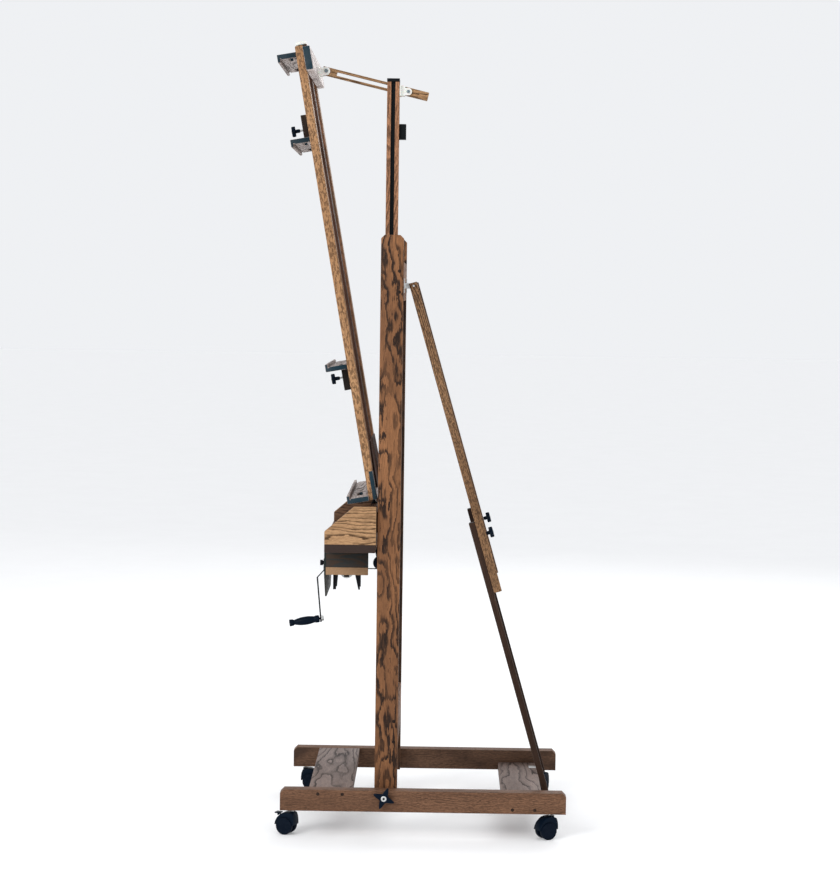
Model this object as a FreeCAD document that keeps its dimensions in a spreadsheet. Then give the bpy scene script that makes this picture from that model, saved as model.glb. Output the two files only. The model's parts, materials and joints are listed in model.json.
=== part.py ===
"""H-frame studio easel: a wheeled base, a tilting H frame with telescoping rear legs, and a crank-lifted
carriage that carries the tray, the mast and the leaning canvas frame.

Frame: X across the easel, +Y to the back, +Z up, millimetres. The canvas faces -Y. Z = 0 is the floor.
X = 0 is the centre plane, and Y = 0 is the middle of the easel's whole depth.
"""
import FreeCAD, Part
import math
import os
import re
from types import SimpleNamespace

from FreeCAD import Placement, Rotation, Vector

SIZES = {
    # base
    "runner_inside": 297.5,       # centre plane to a runner's inner face
    "runner_thickness": 45.0,
    "runner_length": 850.0,
    "runner_height": 63.0,
    "runner_front": -405.0,       # Y of the runners' front ends
    "runner_bottom": 76.0,
    "runner_chamfer": 11.0,
    "front_board_front": -321.0,
    "front_board_depth": 130.0,
    "rear_board_front": 258.0,
    "rear_board_depth": 123.0,
    "board_thickness": 24.0,
    "bolt_radius": 5.0,
    # casters
    "wheel_radius": 26.0,
    "wheel_width": 14.0,
    "wheel_offset": 14.5,         # caster middle to a wheel's middle
    "caster_trail": 20.0,
    "caster_inset": 37.0,         # front end of a runner to the front stems
    "rear_stem_inset": 40.0,      # rear end of a runner to the rear stems
    "caster_top": 68.7,           # top of the turning part
    "hood_half_width": 18.0,
    # H frame
    "post_inside": 252.5,
    "post_thickness": 44.0,
    "post_front": -126.0,
    "post_depth": 67.4,
    "post_bottom": 80.0,
    "post_top": 1786.0,
    "post_chamfer": 10.5,
    "pivot_back": -96.0,
    "pivot_up": 120.0,
    "crossbar_thickness": 24.0,
    "crossbar_height": 115.0,
    "upper_crossbar_bottom": 1591.5,
    "lower_crossbar_bottom": 251.0,
    # rear legs
    "leg_side": 228.0,            # centre plane to the middle of a leg
    "leg_width": 38.0,
    "leg_depth": 24.0,
    "leg_top": 10.0,              # pivot to the leg's top end
    "leg_length": 959.0,
    "leg_lean": 16.2,
    "leg_pivot_back": -29.0,
    "leg_pivot_up": 1637.0,
    "leg_pin_radius": 3.0,
    "extension_depth": 18.0,
    "extension_gap": 0.4,
    "extension_top": -728.0,      # along the leg from its pivot
    "extension_length": 878.0,
    "leg_knob_at": -771.0,
    # carriage and tray
    "tray_half": 315.0,
    "tray_end_thickness": 20.0,
    "tray_front": -283.0,
    "tray_back": -130.0,
    "tray_floor_bottom": 845.0,
    "tray_floor_thickness": 24.0,
    "tray_top": 982.0,
    "tray_front_top": 907.0,
    "tray_slope_back": -196.0,
    "tray_wall_thickness": 20.0,
    "tray_lip_thickness": 12.0,
    "tray_lip_height": 12.0,
    "box_half": 210.0,
    "box_back": -155.0,           # at the right side
    "box_back_left": -169.0,      # the box's rear edge runs forward to its left side
    "box_bottom": 766.0,
    "box_board_thickness": 23.0,
    "box_side_thickness": 12.0,
    "fascia_thickness": 5.0,
    "fascia_top": 860.0,
    "apron_half": 130.0,
    "apron_bottom": 690.0,
    "winch_opening_half": 45.0,
    # winch
    "crank_side": 16.0,
    "crank_up": 780.0,
    "shaft_radius": 6.0,
    "worm_radius": 8.0,
    "drum_back": -227.0,
    "drum_up": 752.0,
    "drum_radius": 7.4,
    "drum_flange_radius": 15.5,
    "gear_radius": 19.5,
    "winch_plate_half": 39.0,
    "winch_plate_thickness": 3.0,
    "crank_bar_width": 12.0,
    "crank_bar_thickness": 4.0,
    "grip_radius": 13.0,
    "grip_length": 98.0,
    "pulley_back": -125.5,
    "pulley_up": 780.0,
    "pulley_radius": 21.0,
    "pulley_groove_radius": 16.8,
    "pulley_half_width": 4.5,
    "cable_radius": 1.6,
    "cable_gap": 0.3,             # cable to the drum and to the pulley's groove
    "cable_top": 1600.0,
    # mast
    "mast_slot_half": 12.0,
    "mast_rail_thickness": 22.0,
    "mast_front": -120.5,
    "mast_depth": 37.5,
    "mast_bottom": 806.0,
    "mast_top": 2257.0,
    "mast_track_width": 12.0,
    "mast_track_depth": 7.0,
    "track_wall": 1.2,
    "mast_strip_depth": 9.5,
    "mast_strip_top": 2080.0,
    "mast_cap_height": 10.0,
    # canvas frame, in its own leaning frame: X, depth behind its front face, distance up its face
    "canvas_lean": 10.0,
    "canvas_front": -152.4,
    "canvas_bottom": 999.5,
    "upright_outside": 285.0,
    "upright_width": 70.0,
    "upright_depth": 24.0,
    "upright_length": 1354.5,
    "top_board_half": 320.0,
    "top_board_depth": 21.0,
    "top_board_height": 69.0,
    "top_board_drop": 8.0,        # below the uprights' tops
    "bottom_board_depth": 12.0,
    "bottom_board_height": 85.0,
    "canvas_mast_half": 32.0,
    "canvas_mast_length": 1386.0,
    "canvas_track_width": 8.0,
    "canvas_track_depth": 8.0,
    "ledge_thickness": 15.0,
    "lip_depth": 8.0,
    "lip_height": 8.0,
    "lip_groove_width": 3.5,      # along the lip's foot
    "lip_groove_depth": 3.0,
    "holder_gap": 0.6,
    "block_half": 38.0,
    # tilt link
    "link_half": 9.5,
    "link_height": 26.0,
    "link_front": -12.0,
    "link_rear": 320.5,
    "link_slot_start": 33.0,
    "link_slot_end": 264.0,
    "link_slot_height": 11.0,
    "link_pivot_depth": 71.0,     # in the canvas frame
    "link_pivot_up": 1296.0,      # in the canvas frame
    "link_slope": 13.28,
    "link_guide_reach": 258.2,    # pivot to the guide bolt on the mast
    # star knobs
    "large_knob_reach": 33.0,
    "large_knob_spin": -22.0,
    "small_knob_reach": 16.0,
    "knob_neck": 10.0,
    "holder_knob_neck": 14.0,
    "holder_knob_stem": 10.0,     # between a holder's block and its knob
    # fits
    "running_gap": 0.05,
    "free_gap": 0.3,
}
s = SimpleNamespace(**SIZES)

X_AXIS = Vector(1, 0, 0)
Y_AXIS = Vector(0, 1, 0)
Z_AXIS = Vector(0, 0, 1)
ALONG_X = Rotation(Y_AXIS, 90)
ALONG_MINUS_X = Rotation(Y_AXIS, -90)
ALONG_Y = Rotation(X_AXIS, -90)
ALONG_MINUS_Y = Rotation(X_AXIS, 90)
WORLD = Placement()
CANVAS = Placement(Vector(0, s.canvas_front, s.canvas_bottom), Rotation(X_AXIS, s.canvas_lean))
LEG = Placement(Vector(0, s.leg_pivot_back, s.leg_pivot_up), Rotation(X_AXIS, s.leg_lean))

doc = FreeCAD.newDocument("h_frame_easel")
sheet = doc.addObject("Spreadsheet::Sheet", "Sizes")
nodes = []


def fill_sheet():
    """Write each driving dimension to a cell of its own, with its name as the alias."""
    for row, (name, value) in enumerate(SIZES.items(), start=1):
        sheet.set(f"A{row}", name)
        sheet.set(f"B{row}", str(value))
        sheet.setAlias(f"B{row}", name)
    doc.recompute()


def bind(obj, prop, value):
    """Set a property to a number, or bind it to a sum of the sheet's names."""
    if isinstance(value, str):
        obj.setExpression(prop, re.sub(r"[a-z_]{3,}", lambda name: "Sizes." + name.group(0), value))
    else:
        setattr(obj, prop, value)


def box(name, sizes, at, frame=WORLD):
    """A board or block: sizes and lowest corner along X, Y and Z of its frame."""
    made = doc.addObject("Part::Box", name)
    for prop, value in zip(("Length", "Width", "Height"), sizes):
        bind(made, prop, value)
    made.Placement = frame.multiply(Placement(Vector(*at), Rotation()))
    return made


def rod(name, radius, length, at, turn=Rotation(), frame=WORLD):
    """A cylinder that starts at a point and runs along the turned +Z."""
    made = doc.addObject("Part::Cylinder", name)
    bind(made, "Radius", radius)
    bind(made, "Height", length)
    made.Placement = frame.multiply(Placement(Vector(*at), turn))
    return made


def joined(name, pieces):
    made = doc.addObject("Part::MultiFuse", name)
    made.Shapes = pieces
    return made


def less(name, base, tools):
    """The base with every tool cut out of it."""
    made = doc.addObject("Part::Cut", name)
    made.Base = base
    made.Tool = tools[0] if len(tools) == 1 else joined(name + "_cutters", tools)
    return made


def grouped(name, pieces):
    """Several separate solids kept as one sub-part."""
    made = doc.addObject("Part::Compound", name)
    made.Links = pieces
    return made


def origin_plane(body, role):
    return next(item for item in body.Origin.OriginFeatures if item.Role == role)


def draw(sketch, outline):
    """Add a closed run of straight lines to a sketch."""
    points = [Vector(across, up, 0) for across, up in outline]
    for start, end in zip(points, points[1:] + points[:1]):
        sketch.addGeometry(Part.LineSegment(start, end), False)


def plate(name, outline, thickness, at=(0, 0, 0), plane="YZ_Plane", holes=(), frame=WORLD):
    """A flat piece padded both ways from its middle plane; holes are (across, up, radius)."""
    body = doc.addObject("PartDesign::Body", name)
    profile = body.newObject("Sketcher::SketchObject", name + "_profile")
    profile.AttachmentSupport = [(origin_plane(body, plane), "")]
    profile.MapMode = "FlatFace"
    draw(profile, outline)
    pad = body.newObject("PartDesign::Pad", name + "_pad")
    pad.Profile = profile
    pad.Midplane = True
    bind(pad, "Length", thickness)
    if holes:
        doc.recompute()
        drill(body, name, plane, holes)
    body.Placement = frame.multiply(Placement(Vector(*at), Rotation()))
    return body


def drill(body, name, plane, holes):
    """Pocket round holes right through a padded plate, and check that they cut."""
    before = body.Shape.Volume
    rings = body.newObject("Sketcher::SketchObject", name + "_holes")
    rings.AttachmentSupport = [(origin_plane(body, plane), "")]
    rings.MapMode = "FlatFace"
    for across, up, radius in holes:
        rings.addGeometry(Part.Circle(Vector(across, up, 0), Vector(0, 0, 1), radius), False)
    pocket = body.newObject("PartDesign::Pocket", name + "_drilled")
    pocket.Profile = rings
    pocket.Type = "ThroughAll"
    pocket.Midplane = True
    doc.recompute()
    if body.Shape.Volume >= before:
        raise RuntimeError(f"{name}: its holes cut nothing")


def turned(name, profile, at, turn=Rotation(), frame=WORLD):
    """A piece turned about its own Z axis from a closed (radius, height) profile."""
    body = doc.addObject("PartDesign::Body", name)
    sketch = body.newObject("Sketcher::SketchObject", name + "_profile")
    sketch.AttachmentSupport = [(origin_plane(body, "XZ_Plane"), "")]
    sketch.MapMode = "FlatFace"
    draw(sketch, profile)
    spin = body.newObject("PartDesign::Revolution", name + "_turned")
    spin.Profile = sketch
    spin.ReferenceAxis = (sketch, ["V_Axis"])
    spin.Angle = 360
    body.Placement = frame.multiply(Placement(Vector(*at), turn))
    return body


def keep(obj):
    """Mark a finished sub-part: its name is its label and its file's name."""
    obj.Label = obj.Name
    nodes.append(obj)


def sides():
    """The two sides of the easel, as a name and the sign of X."""
    return (("right", 1), ("left", -1))


# ---------------------------------------------------------------------------------------------- knobs

def star_outline(reach, hub, spin, arms=4):
    """A star with blunt, tapering arms: two points at each arm's tip and one between the arms."""
    points = []
    for arm in range(arms):
        middle = 2 * math.pi * arm / arms + math.radians(spin)
        for turn, radius in ((-0.08, reach), (0.08, reach), (math.pi / arms, hub)):
            points.append((radius * math.cos(middle + turn), radius * math.sin(middle + turn)))
    return points


def star_knob_pieces(name, reach, neck_length, spin, at, turn, frame=WORLD):
    """A four-armed head on a neck, and the frame that they stand in: +Z from the clamped face to the head."""
    head_thickness = 13.0
    placed = frame.multiply(Placement(Vector(*at), turn))
    lift = neck_length + head_thickness / 2
    head = plate(name + "_head", star_outline(reach, 0.42 * reach, spin), head_thickness, at=(0, 0, lift),
                 plane="XY_Plane", frame=placed)
    neck = rod(name + "_neck", 0.36 * reach, neck_length, (0, 0, 0), frame=placed)
    return [head, neck], placed


def stemmed_knob(name, neck_length, stem_radius, stem_length, at, turn, frame, end_disc=0):
    """A small star knob on a threaded stem, which may end in a retaining disc of a given thickness."""
    pieces, placed = star_knob_pieces(name, s.small_knob_reach, neck_length, 0, at, turn, frame)
    pieces.append(rod(name + "_stem", stem_radius, stem_length, (0, 0, -stem_length), frame=placed))
    if end_disc:
        pieces.append(rod(name + "_disc", 2 * stem_radius, end_disc, (0, 0, -stem_length), frame=placed))
    keep(joined(name, pieces))


def socketed_knob(name, socket_radius, socket_depth, at, turn):
    """A large star knob with a blind bore in its neck, for the end of a fixed bolt."""
    pieces, placed = star_knob_pieces(name, s.large_knob_reach, s.knob_neck, s.large_knob_spin, at, turn)
    socket = rod(name + "_socket", socket_radius, socket_depth + 1, (0, 0, -1), frame=placed)
    keep(less(name, joined(name + "_solid", pieces), [socket]))


# ------------------------------------------------------------------------------------------------ base

def make_runners():
    front = s.runner_front
    rear = front + s.runner_length
    low = s.runner_bottom
    high = low + s.runner_height
    cut = s.runner_chamfer
    outline = [(front, low), (rear, low), (rear, high - cut), (rear - cut, high), (front + cut, high),
               (front, high - cut)]
    bolt_hole = [(s.pivot_back, s.pivot_up, s.bolt_radius + s.running_gap)]
    for side, sign in sides():
        middle = sign * (s.runner_inside + s.runner_thickness / 2)
        beam = plate("runner_beam_" + side, outline, "runner_thickness", at=(middle, 0, 0), holes=bolt_hole)
        sockets = [rod(f"stem_socket_{side}_{end}", "bolt_radius + running_gap", 34, (middle, back, low - 1))
                   for end, back in stem_places()]
        keep(less("runner_" + side, beam, sockets))


def stem_places():
    """The Y of the front and rear caster stems."""
    rear_end = s.runner_front + s.runner_length
    return (("front", s.runner_front + s.caster_inset), ("rear", rear_end - s.rear_stem_inset))


def make_base_boards():
    """The front board lies flush with the runners' tops, the rear one flush with their undersides."""
    top = s.runner_bottom + s.runner_height
    keep(box("front_board", ("2 * runner_inside", "front_board_depth", "board_thickness"),
             (-s.runner_inside, s.front_board_front, top - s.board_thickness)))
    keep(box("rear_board", ("2 * runner_inside", "rear_board_depth", "board_thickness"),
             (-s.runner_inside, s.rear_board_front, s.runner_bottom)))


def make_base_hardware():
    """Pivot bolts, caster stems with their washers, and the board half of the two foot hinges."""
    pieces = []
    for side, sign in sides():
        turn = ALONG_X if sign > 0 else ALONG_MINUS_X
        inner = s.post_inside - s.free_gap - 6.5
        bolt_length = s.runner_inside + s.runner_thickness + 8 - inner
        bolt = rod("pivot_bolt_shank_" + side, "bolt_radius", bolt_length,
                   (sign * inner, s.pivot_back, s.pivot_up), turn)
        head = rod("pivot_bolt_head_" + side, 11, 6.5, (sign * inner, s.pivot_back, s.pivot_up), turn)
        pieces.append(joined("pivot_bolt_" + side, [bolt, head]))
        middle = sign * (s.runner_inside + s.runner_thickness / 2)
        for end, back in stem_places():
            stem = rod(f"stem_{side}_{end}", "bolt_radius", 38, (middle, back, s.caster_top + s.free_gap))
            washer = rod(f"stem_washer_{side}_{end}", 8, 1.6, (middle, back, s.runner_bottom - 1.6))
            pieces.append(joined(f"caster_stem_{side}_{end}", [stem, washer]))
        board_top = s.runner_bottom + s.board_thickness
        board_rear = s.rear_board_front + s.rear_board_depth
        start = sign * s.leg_side - 15
        leaf = box("foot_leaf_" + side, (30, 26, 1.6), (start, board_rear - 26, board_top))
        barrel = rod("foot_barrel_" + side, 3, 30, (start, board_rear, board_top + 3), ALONG_X)
        pieces.append(joined("foot_hinge_" + side, [leaf, barrel]))
    keep(grouped("base_hardware", pieces))


# ---------------------------------------------------------------------------------------------- casters

CASTER_YAWS = {"front_right": -22.0, "front_left": 172.0, "rear_right": 28.0, "rear_left": 58.0}


def caster_frame(corner):
    """The caster's own frame on the floor below its axle: X along the axle, and the stem behind at +Y."""
    end, side = corner.split("_")
    sign = 1 if side == "right" else -1
    back = dict(stem_places())[end]
    middle = sign * (s.runner_inside + s.runner_thickness / 2)
    stem = Placement(Vector(middle, back, 0), Rotation(Z_AXIS, CASTER_YAWS[corner]))
    return stem.multiply(Placement(Vector(0, -s.caster_trail, 0), Rotation()))


def make_caster(corner):
    """A twin-wheel swivel caster: a hood with a web between the wheels, and two wheels on one axle."""
    frame = caster_frame(corner)
    up = s.wheel_radius
    web_half = s.wheel_offset - s.wheel_width / 2 - 0.8
    outline = [(-31.5, 29), (-29, 40), (-23.5, 50), (-16, 58), (-8, 64), (2, 67), (18, 67.5), (26, 63.5),
               (29.5, 54), (31, 42), (31, 30)]
    hood = plate(corner + "_hood", outline, "2 * hood_half_width", frame=frame)
    wells = [rod(f"{corner}_well_{side}", "wheel_radius + 1", 20, (start, 0, up), ALONG_X, frame)
             for side, start in (("right", web_half), ("left", -web_half - 20))]
    web = box(corner + "_web", (2 * web_half, 24, 30), (-web_half, -12, up - 12), frame)
    neck = rod(corner + "_neck", 7, s.caster_top - 60, (0, s.caster_trail, 60), frame=frame)
    bore = rod(corner + "_axle_bore", "leg_pin_radius + running_gap", 60, (-30, 0, up), ALONG_X, frame)
    shell = less(corner + "_shell", hood, wells)
    keep(less("caster_fork_" + corner, joined(corner + "_fork", [shell, web, neck]), [bore]))
    wheels = [rod(f"{corner}_tyre_{side}", "wheel_radius", "wheel_width",
                  (sign * s.wheel_offset - s.wheel_width / 2, 0, up), ALONG_X, frame)
              for side, sign in sides()]
    half_axle = s.wheel_offset - s.wheel_width / 2 + 1
    wheels.append(rod(corner + "_axle", "leg_pin_radius", 2 * half_axle, (-half_axle, 0, up), ALONG_X, frame))
    keep(joined("caster_wheels_" + corner, wheels))


def make_brake_lever(corner):
    """The thin foot tab in front of a front caster's hood, with its short leg."""
    frame = caster_frame(corner)
    tab = box(corner + "_tab", (20, 18, 3.5), (-10, -35, 60.3), frame)
    leg = box(corner + "_tab_leg", (20, 3, 5.5), (-10, -26, 55), frame)
    keep(joined("brake_lever_" + corner, [tab, leg]))


# ---------------------------------------------------------------------------------------------- H frame

def make_posts():
    front = s.post_front
    rear = front + s.post_depth
    cut = s.post_chamfer
    outline = [(front, s.post_bottom), (rear, s.post_bottom), (rear, s.post_top - cut),
               (rear - cut, s.post_top), (front + cut, s.post_top), (front, s.post_top - cut)]
    bolt_hole = [(s.pivot_back, s.pivot_up, s.bolt_radius + s.running_gap)]
    for side, sign in sides():
        middle = sign * (s.post_inside + s.post_thickness / 2)
        keep(plate("post_" + side, outline, "post_thickness", at=(middle, 0, 0), holes=bolt_hole))


def make_crossbars():
    rear = s.post_front + s.post_depth
    bars = [box(name, ("2 * post_inside", "crossbar_thickness", "crossbar_height"),
                (-s.post_inside, rear - s.crossbar_thickness, bottom))
            for name, bottom in (("upper_bar", s.upper_crossbar_bottom),
                                 ("lower_bar", s.lower_crossbar_bottom))]
    keep(grouped("crossbars", bars))


def make_frame_hardware():
    """On the upper crossbar: the leg pivot tongues behind it, the mast's guide blocks before it, and
    the hook that holds the top of the lift cable."""
    rear = s.post_front + s.post_depth
    front = rear - s.crossbar_thickness
    pieces = []
    for side, sign in sides():
        middle = sign * s.leg_side
        back_plate = box("tongue_plate_" + side, (32, 2.5, 44), (middle - 16, rear, s.leg_pivot_up - 22))
        tongue = box("tongue_" + side, (6, s.leg_pivot_back + 8 - rear, 16),
                     (middle - 3, rear, s.leg_pivot_up - 8))
        pin = rod("leg_pin_" + side, "leg_pin_radius", s.leg_width - 1,
                  (middle - (s.leg_width - 1) / 2, s.leg_pivot_back, s.leg_pivot_up), ALONG_X)
        pieces.append(joined("leg_pivot_" + side, [back_plate, tongue, pin]))
        start = sign * (s.mast_slot_half + s.mast_rail_thickness + 0.6)
        width = 18
        guide_start = start if sign > 0 else start - width
        depth = front - s.mast_front
        pieces.append(box("mast_guide_" + side, (width, depth, 90),
                          (guide_start, s.mast_front, s.upper_crossbar_bottom + 12)))
    strap_half = s.mast_slot_half + s.mast_rail_thickness + 0.6 + 18
    pieces.append(box("mast_keeper", (2 * strap_half, 3, 24),
                      (-strap_half, s.mast_front - 3 - s.free_gap, s.upper_crossbar_bottom + 45)))
    cable_rear = s.pulley_back + cable_bend() + s.cable_radius + s.cable_gap
    pieces.append(box("cable_hook", (14, front - cable_rear, 40), (-7, cable_rear, s.cable_top - 30)))
    keep(grouped("frame_hardware", pieces))


# -------------------------------------------------------------------------------------------- rear legs

def make_rear_legs():
    for side, sign in sides():
        middle = sign * s.leg_side
        low = s.leg_top - s.leg_length
        bar = box("leg_bar_" + side, ("leg_width", "leg_depth", "leg_length"),
                  (middle - s.leg_width / 2, -s.leg_depth / 2, low), LEG)
        slot = box("leg_slot_" + side, (6.8, 40, 50), (middle - 3.4, -20, -28), LEG)
        bore = rod("leg_bore_" + side, "leg_pin_radius + running_gap", "leg_width + 4",
                   (middle - s.leg_width / 2 - 2, 0, 0), ALONG_X, LEG)
        knob_bore = rod("leg_knob_bore_" + side, 4.05, "leg_depth + 4",
                        (middle, -s.leg_depth / 2 - 2, s.leg_knob_at), ALONG_Y, LEG)
        keep(less("rear_leg_" + side, bar, [slot, bore, knob_bore]))


def make_leg_extensions():
    """The sliding lower legs, in front of the upper ones, slotted for the clamping stems."""
    front = -s.leg_depth / 2 - s.extension_gap - s.extension_depth
    for side, sign in sides():
        middle = sign * s.leg_side
        bar = box("extension_bar_" + side, ("leg_width", "extension_depth", "extension_length"),
                  (middle - s.leg_width / 2, front, s.extension_top - s.extension_length), LEG)
        slot = box("extension_slot_" + side, (9, 30, 83), (middle - 4.5, front - 5, s.leg_knob_at - 46), LEG)
        keep(less("leg_extension_" + side, bar, [slot]))
        stemmed_knob("leg_knob_" + side, s.knob_neck, 4, s.leg_depth + s.extension_depth + 3.2,
                     (middle, s.leg_depth / 2 + s.free_gap, s.leg_knob_at), ALONG_Y, LEG, end_disc=2)


# -------------------------------------------------------------------------------------- tray and carriage

def make_tray():
    floor_top = s.tray_floor_bottom + s.tray_floor_thickness
    outline = [(s.tray_front, floor_top), (s.tray_back, floor_top), (s.tray_back, s.tray_top),
               (s.tray_slope_back, s.tray_top), (s.tray_front, s.tray_front_top)]
    ends = [plate("tray_end_" + side, outline, "tray_end_thickness",
                  at=(sign * (s.tray_half - s.tray_end_thickness / 2), 0, 0)) for side, sign in sides()]
    keep(grouped("tray_ends", ends))
    inside = s.tray_half - s.tray_end_thickness
    floor = box("tray_floor", ("2 * tray_half", "tray_back - tray_front - 2", "tray_floor_thickness"),
                (-s.tray_half, s.tray_front, s.tray_floor_bottom))
    back = box("tray_back_wall", (2 * inside, "tray_wall_thickness", "tray_top - tray_floor_bottom"
               " - tray_floor_thickness"), (-inside, s.tray_back - s.tray_wall_thickness, floor_top))
    lip = box("tray_lip", (2 * inside, "tray_lip_thickness", "tray_lip_height"),
              (-inside, s.tray_front, floor_top))
    keep(grouped("tray_boards", [floor, back, lip]))


def make_winch_box():
    top_of_board = s.box_bottom + s.box_board_thickness
    height = "tray_floor_bottom - box_bottom - box_board_thickness"
    walls = [box("box_side_right", ("box_side_thickness", "box_back - tray_front", height),
                 (s.box_half - s.box_side_thickness, s.tray_front, top_of_board)),
             box("box_side_left", ("box_side_thickness", "box_back_left - tray_front", height),
                 (-s.box_half, s.tray_front, top_of_board))]
    keep(grouped("winch_box_sides", walls))
    plan = [(-s.box_half, s.tray_front), (s.box_half, s.tray_front), (s.box_half, s.box_back),
            (-s.box_half, s.box_back_left)]
    board = plate("box_board", plan, "box_board_thickness",
                  at=(0, 0, s.box_bottom + s.box_board_thickness / 2), plane="XY_Plane")
    opening = box("winch_opening", ("2 * winch_opening_half", 92, 40),
                  (-s.winch_opening_half, -273, s.box_bottom - 8))
    shaft_way = rod("shaft_way", "shaft_radius + 0.5", 40, (s.crank_side, s.tray_front - 20, s.crank_up),
                    ALONG_Y)
    keep(less("winch_box_bottom", board, [opening, shaft_way]))
    outline = [(-s.box_half, s.fascia_top), (-s.box_half, s.box_bottom), (-s.apron_half, s.apron_bottom),
               (s.apron_half, s.apron_bottom), (s.box_half, s.box_bottom), (s.box_half, s.fascia_top)]
    keep(plate("winch_front_panel", outline, "fascia_thickness",
               at=(0, s.tray_front - s.fascia_thickness / 2, 0), plane="XZ_Plane",
               holes=[(s.crank_side, s.crank_up, s.shaft_radius + 0.5)]))


def make_winch_frame():
    """Two side plates with pointed feet, a top and two bearing plates between them, and the pulley's fork."""
    ceiling = s.tray_floor_bottom
    outline = [(-268, ceiling - 3), (-268, s.apron_bottom + 10), (-259, s.apron_bottom + 10), (-254, 762),
               (-204, 762), (-190, s.apron_bottom + 10), (-185, s.apron_bottom + 10), (-185, ceiling - 3)]
    half = s.winch_plate_half
    thick = s.winch_plate_thickness
    plates = [plate("winch_side_" + side, outline, thick, at=(sign * (half - thick / 2), 0, 0))
              for side, sign in sides()]
    top = box("winch_top", (2 * half, 83, 3), (-half, -268, ceiling - 3))
    bearings = [box("winch_bearing_" + end, (2 * (half - thick), 3, 60), (thick - half, back, ceiling - 63))
                for end, back in (("front", -268), ("rear", -188))]
    hangers = [box("drum_hanger_" + side, (4, 16, 108), (sign * (half - thick - 10) - 2, s.drum_back - 8,
                   ceiling - 108)) for side, sign in sides()]
    frame = joined("winch_casting", plates + [top] + bearings + hangers)
    shaft_bore = rod("shaft_bore", s.shaft_radius + s.running_gap, 120, (s.crank_side, -280, s.crank_up),
                     ALONG_Y)
    drum_bore = rod("drum_bore", s.shaft_radius + s.running_gap, 100, (-50, s.drum_back, s.drum_up), ALONG_X)
    winch = less("winch_body", frame, [shaft_bore, drum_bore])
    cheek = s.pulley_half_width + 1.0
    back = s.pulley_back
    up = s.pulley_up
    outline = [(back - 22, ceiling), (back + 2, ceiling), (back + 5, up + 6), (back + 5, up - 7),
               (back - 7, up - 7), (back - 9, up + 10)]
    cheeks = [plate("pulley_cheek_" + side, outline, 2.5, at=(sign * (cheek + 1.25), 0, 0))
              for side, sign in sides()]
    axle = rod("pulley_axle", "leg_pin_radius", 2 * cheek + 5, (-cheek - 2.5, s.pulley_back, s.pulley_up),
               ALONG_X)
    keep(grouped("winch_frame", [winch, joined("pulley_fork", cheeks + [axle])]))


def make_winch_drum():
    """The cable drum, its flanges and its worm wheel on one cross shaft."""
    at = (0, s.drum_back, s.drum_up)
    core = rod("drum_core", "drum_radius", 32, (-20, at[1], at[2]), ALONG_X)
    shaft = rod("drum_shaft", "shaft_radius", 62, (-31, at[1], at[2]), ALONG_X)
    flanges = [rod(f"drum_flange_{index}", "drum_flange_radius", 2.5, (start, at[1], at[2]), ALONG_X)
               for index, start in enumerate((-15, 7))]
    gear = rod("worm_wheel", "gear_radius", 8, (s.crank_side - 4, at[1], at[2]), ALONG_X)
    keep(joined("winch_drum", [core, shaft, gear] + flanges))


def make_pulley():
    half = s.pulley_half_width
    groove = s.pulley_groove_radius
    rim = s.pulley_radius
    bore = s.leg_pin_radius + s.running_gap
    profile = [(bore, -half), (rim, -half), (rim, 1 - half), (groove, -1.3), (groove, 1.3), (rim, half - 1),
               (rim, half), (bore, half)]
    wheel = turned("pulley_wheel", profile, (0, s.pulley_back, s.pulley_up), ALONG_X)
    keep(grouped("cable_pulley", [wheel]))


def cable_bend():
    """The radius of the cable's middle line round the pulley."""
    return s.pulley_groove_radius + s.cable_radius + s.cable_gap


def make_lift_cable():
    """From the top of the drum back under the pulley and up to the hook on the upper crossbar."""
    bend = cable_bend()
    low = s.pulley_up - bend
    first = rod("cable_low_run", "cable_radius", s.pulley_back - s.drum_back, (0, s.drum_back, low), ALONG_Y)
    turn = doc.addObject("Part::Torus", "cable_turn")
    turn.Radius1 = bend
    bind(turn, "Radius2", "cable_radius")
    turn.Angle3 = 90
    turn.Placement = Placement(Vector(0, s.pulley_back, s.pulley_up), Rotation(-Z_AXIS, Y_AXIS, X_AXIS))
    rise = rod("cable_rise", "cable_radius", "cable_top - pulley_up", (0, s.pulley_back + bend, s.pulley_up))
    keep(joined("lift_cable", [first, turn, rise]))


def make_crank():
    """The worm shaft, its end nut, the bent crank bar and the nut that holds the grip's spindle."""
    at_x = s.crank_side
    shaft = rod("worm_shaft", "shaft_radius", 123, (at_x, -309, s.crank_up), ALONG_Y)
    worm = rod("worm", "worm_radius", 44, (at_x, s.drum_back - 22, s.crank_up), ALONG_Y)
    end_nut = rod("crank_end_nut", 8.5, 8, (at_x, -309.5, s.crank_up), ALONG_Y)
    thick = s.crank_bar_thickness
    # the bar's own line, from its top end to the grip: Y and Z
    line = [(-297, s.crank_up + 12), (-297, 757), (-318, 734), (-305, 595)]
    front = [(back - thick / 2, up) for back, up in line]
    rear = [(back + thick / 2, up) for back, up in reversed(line)]
    bar = plate("crank_bar", front + rear, "crank_bar_width", at=(at_x, 0, 0))
    keep(joined("crank", [shaft, worm, end_nut, bar, spindle_piece("grip_spindle", 3.5, -8, 92),
                          spindle_piece("spindle_nut", 8, -9, 7)]))


def grip_frame():
    """The grip's own frame: +Z along the spindle, away from the crank bar."""
    return Placement(Vector(s.crank_side, -306, 606), Rotation(X_AXIS, 90 + 9.5))


def spindle_piece(name, radius, start, length):
    return rod(name, radius, length, (0, 0, start), frame=grip_frame())


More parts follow.
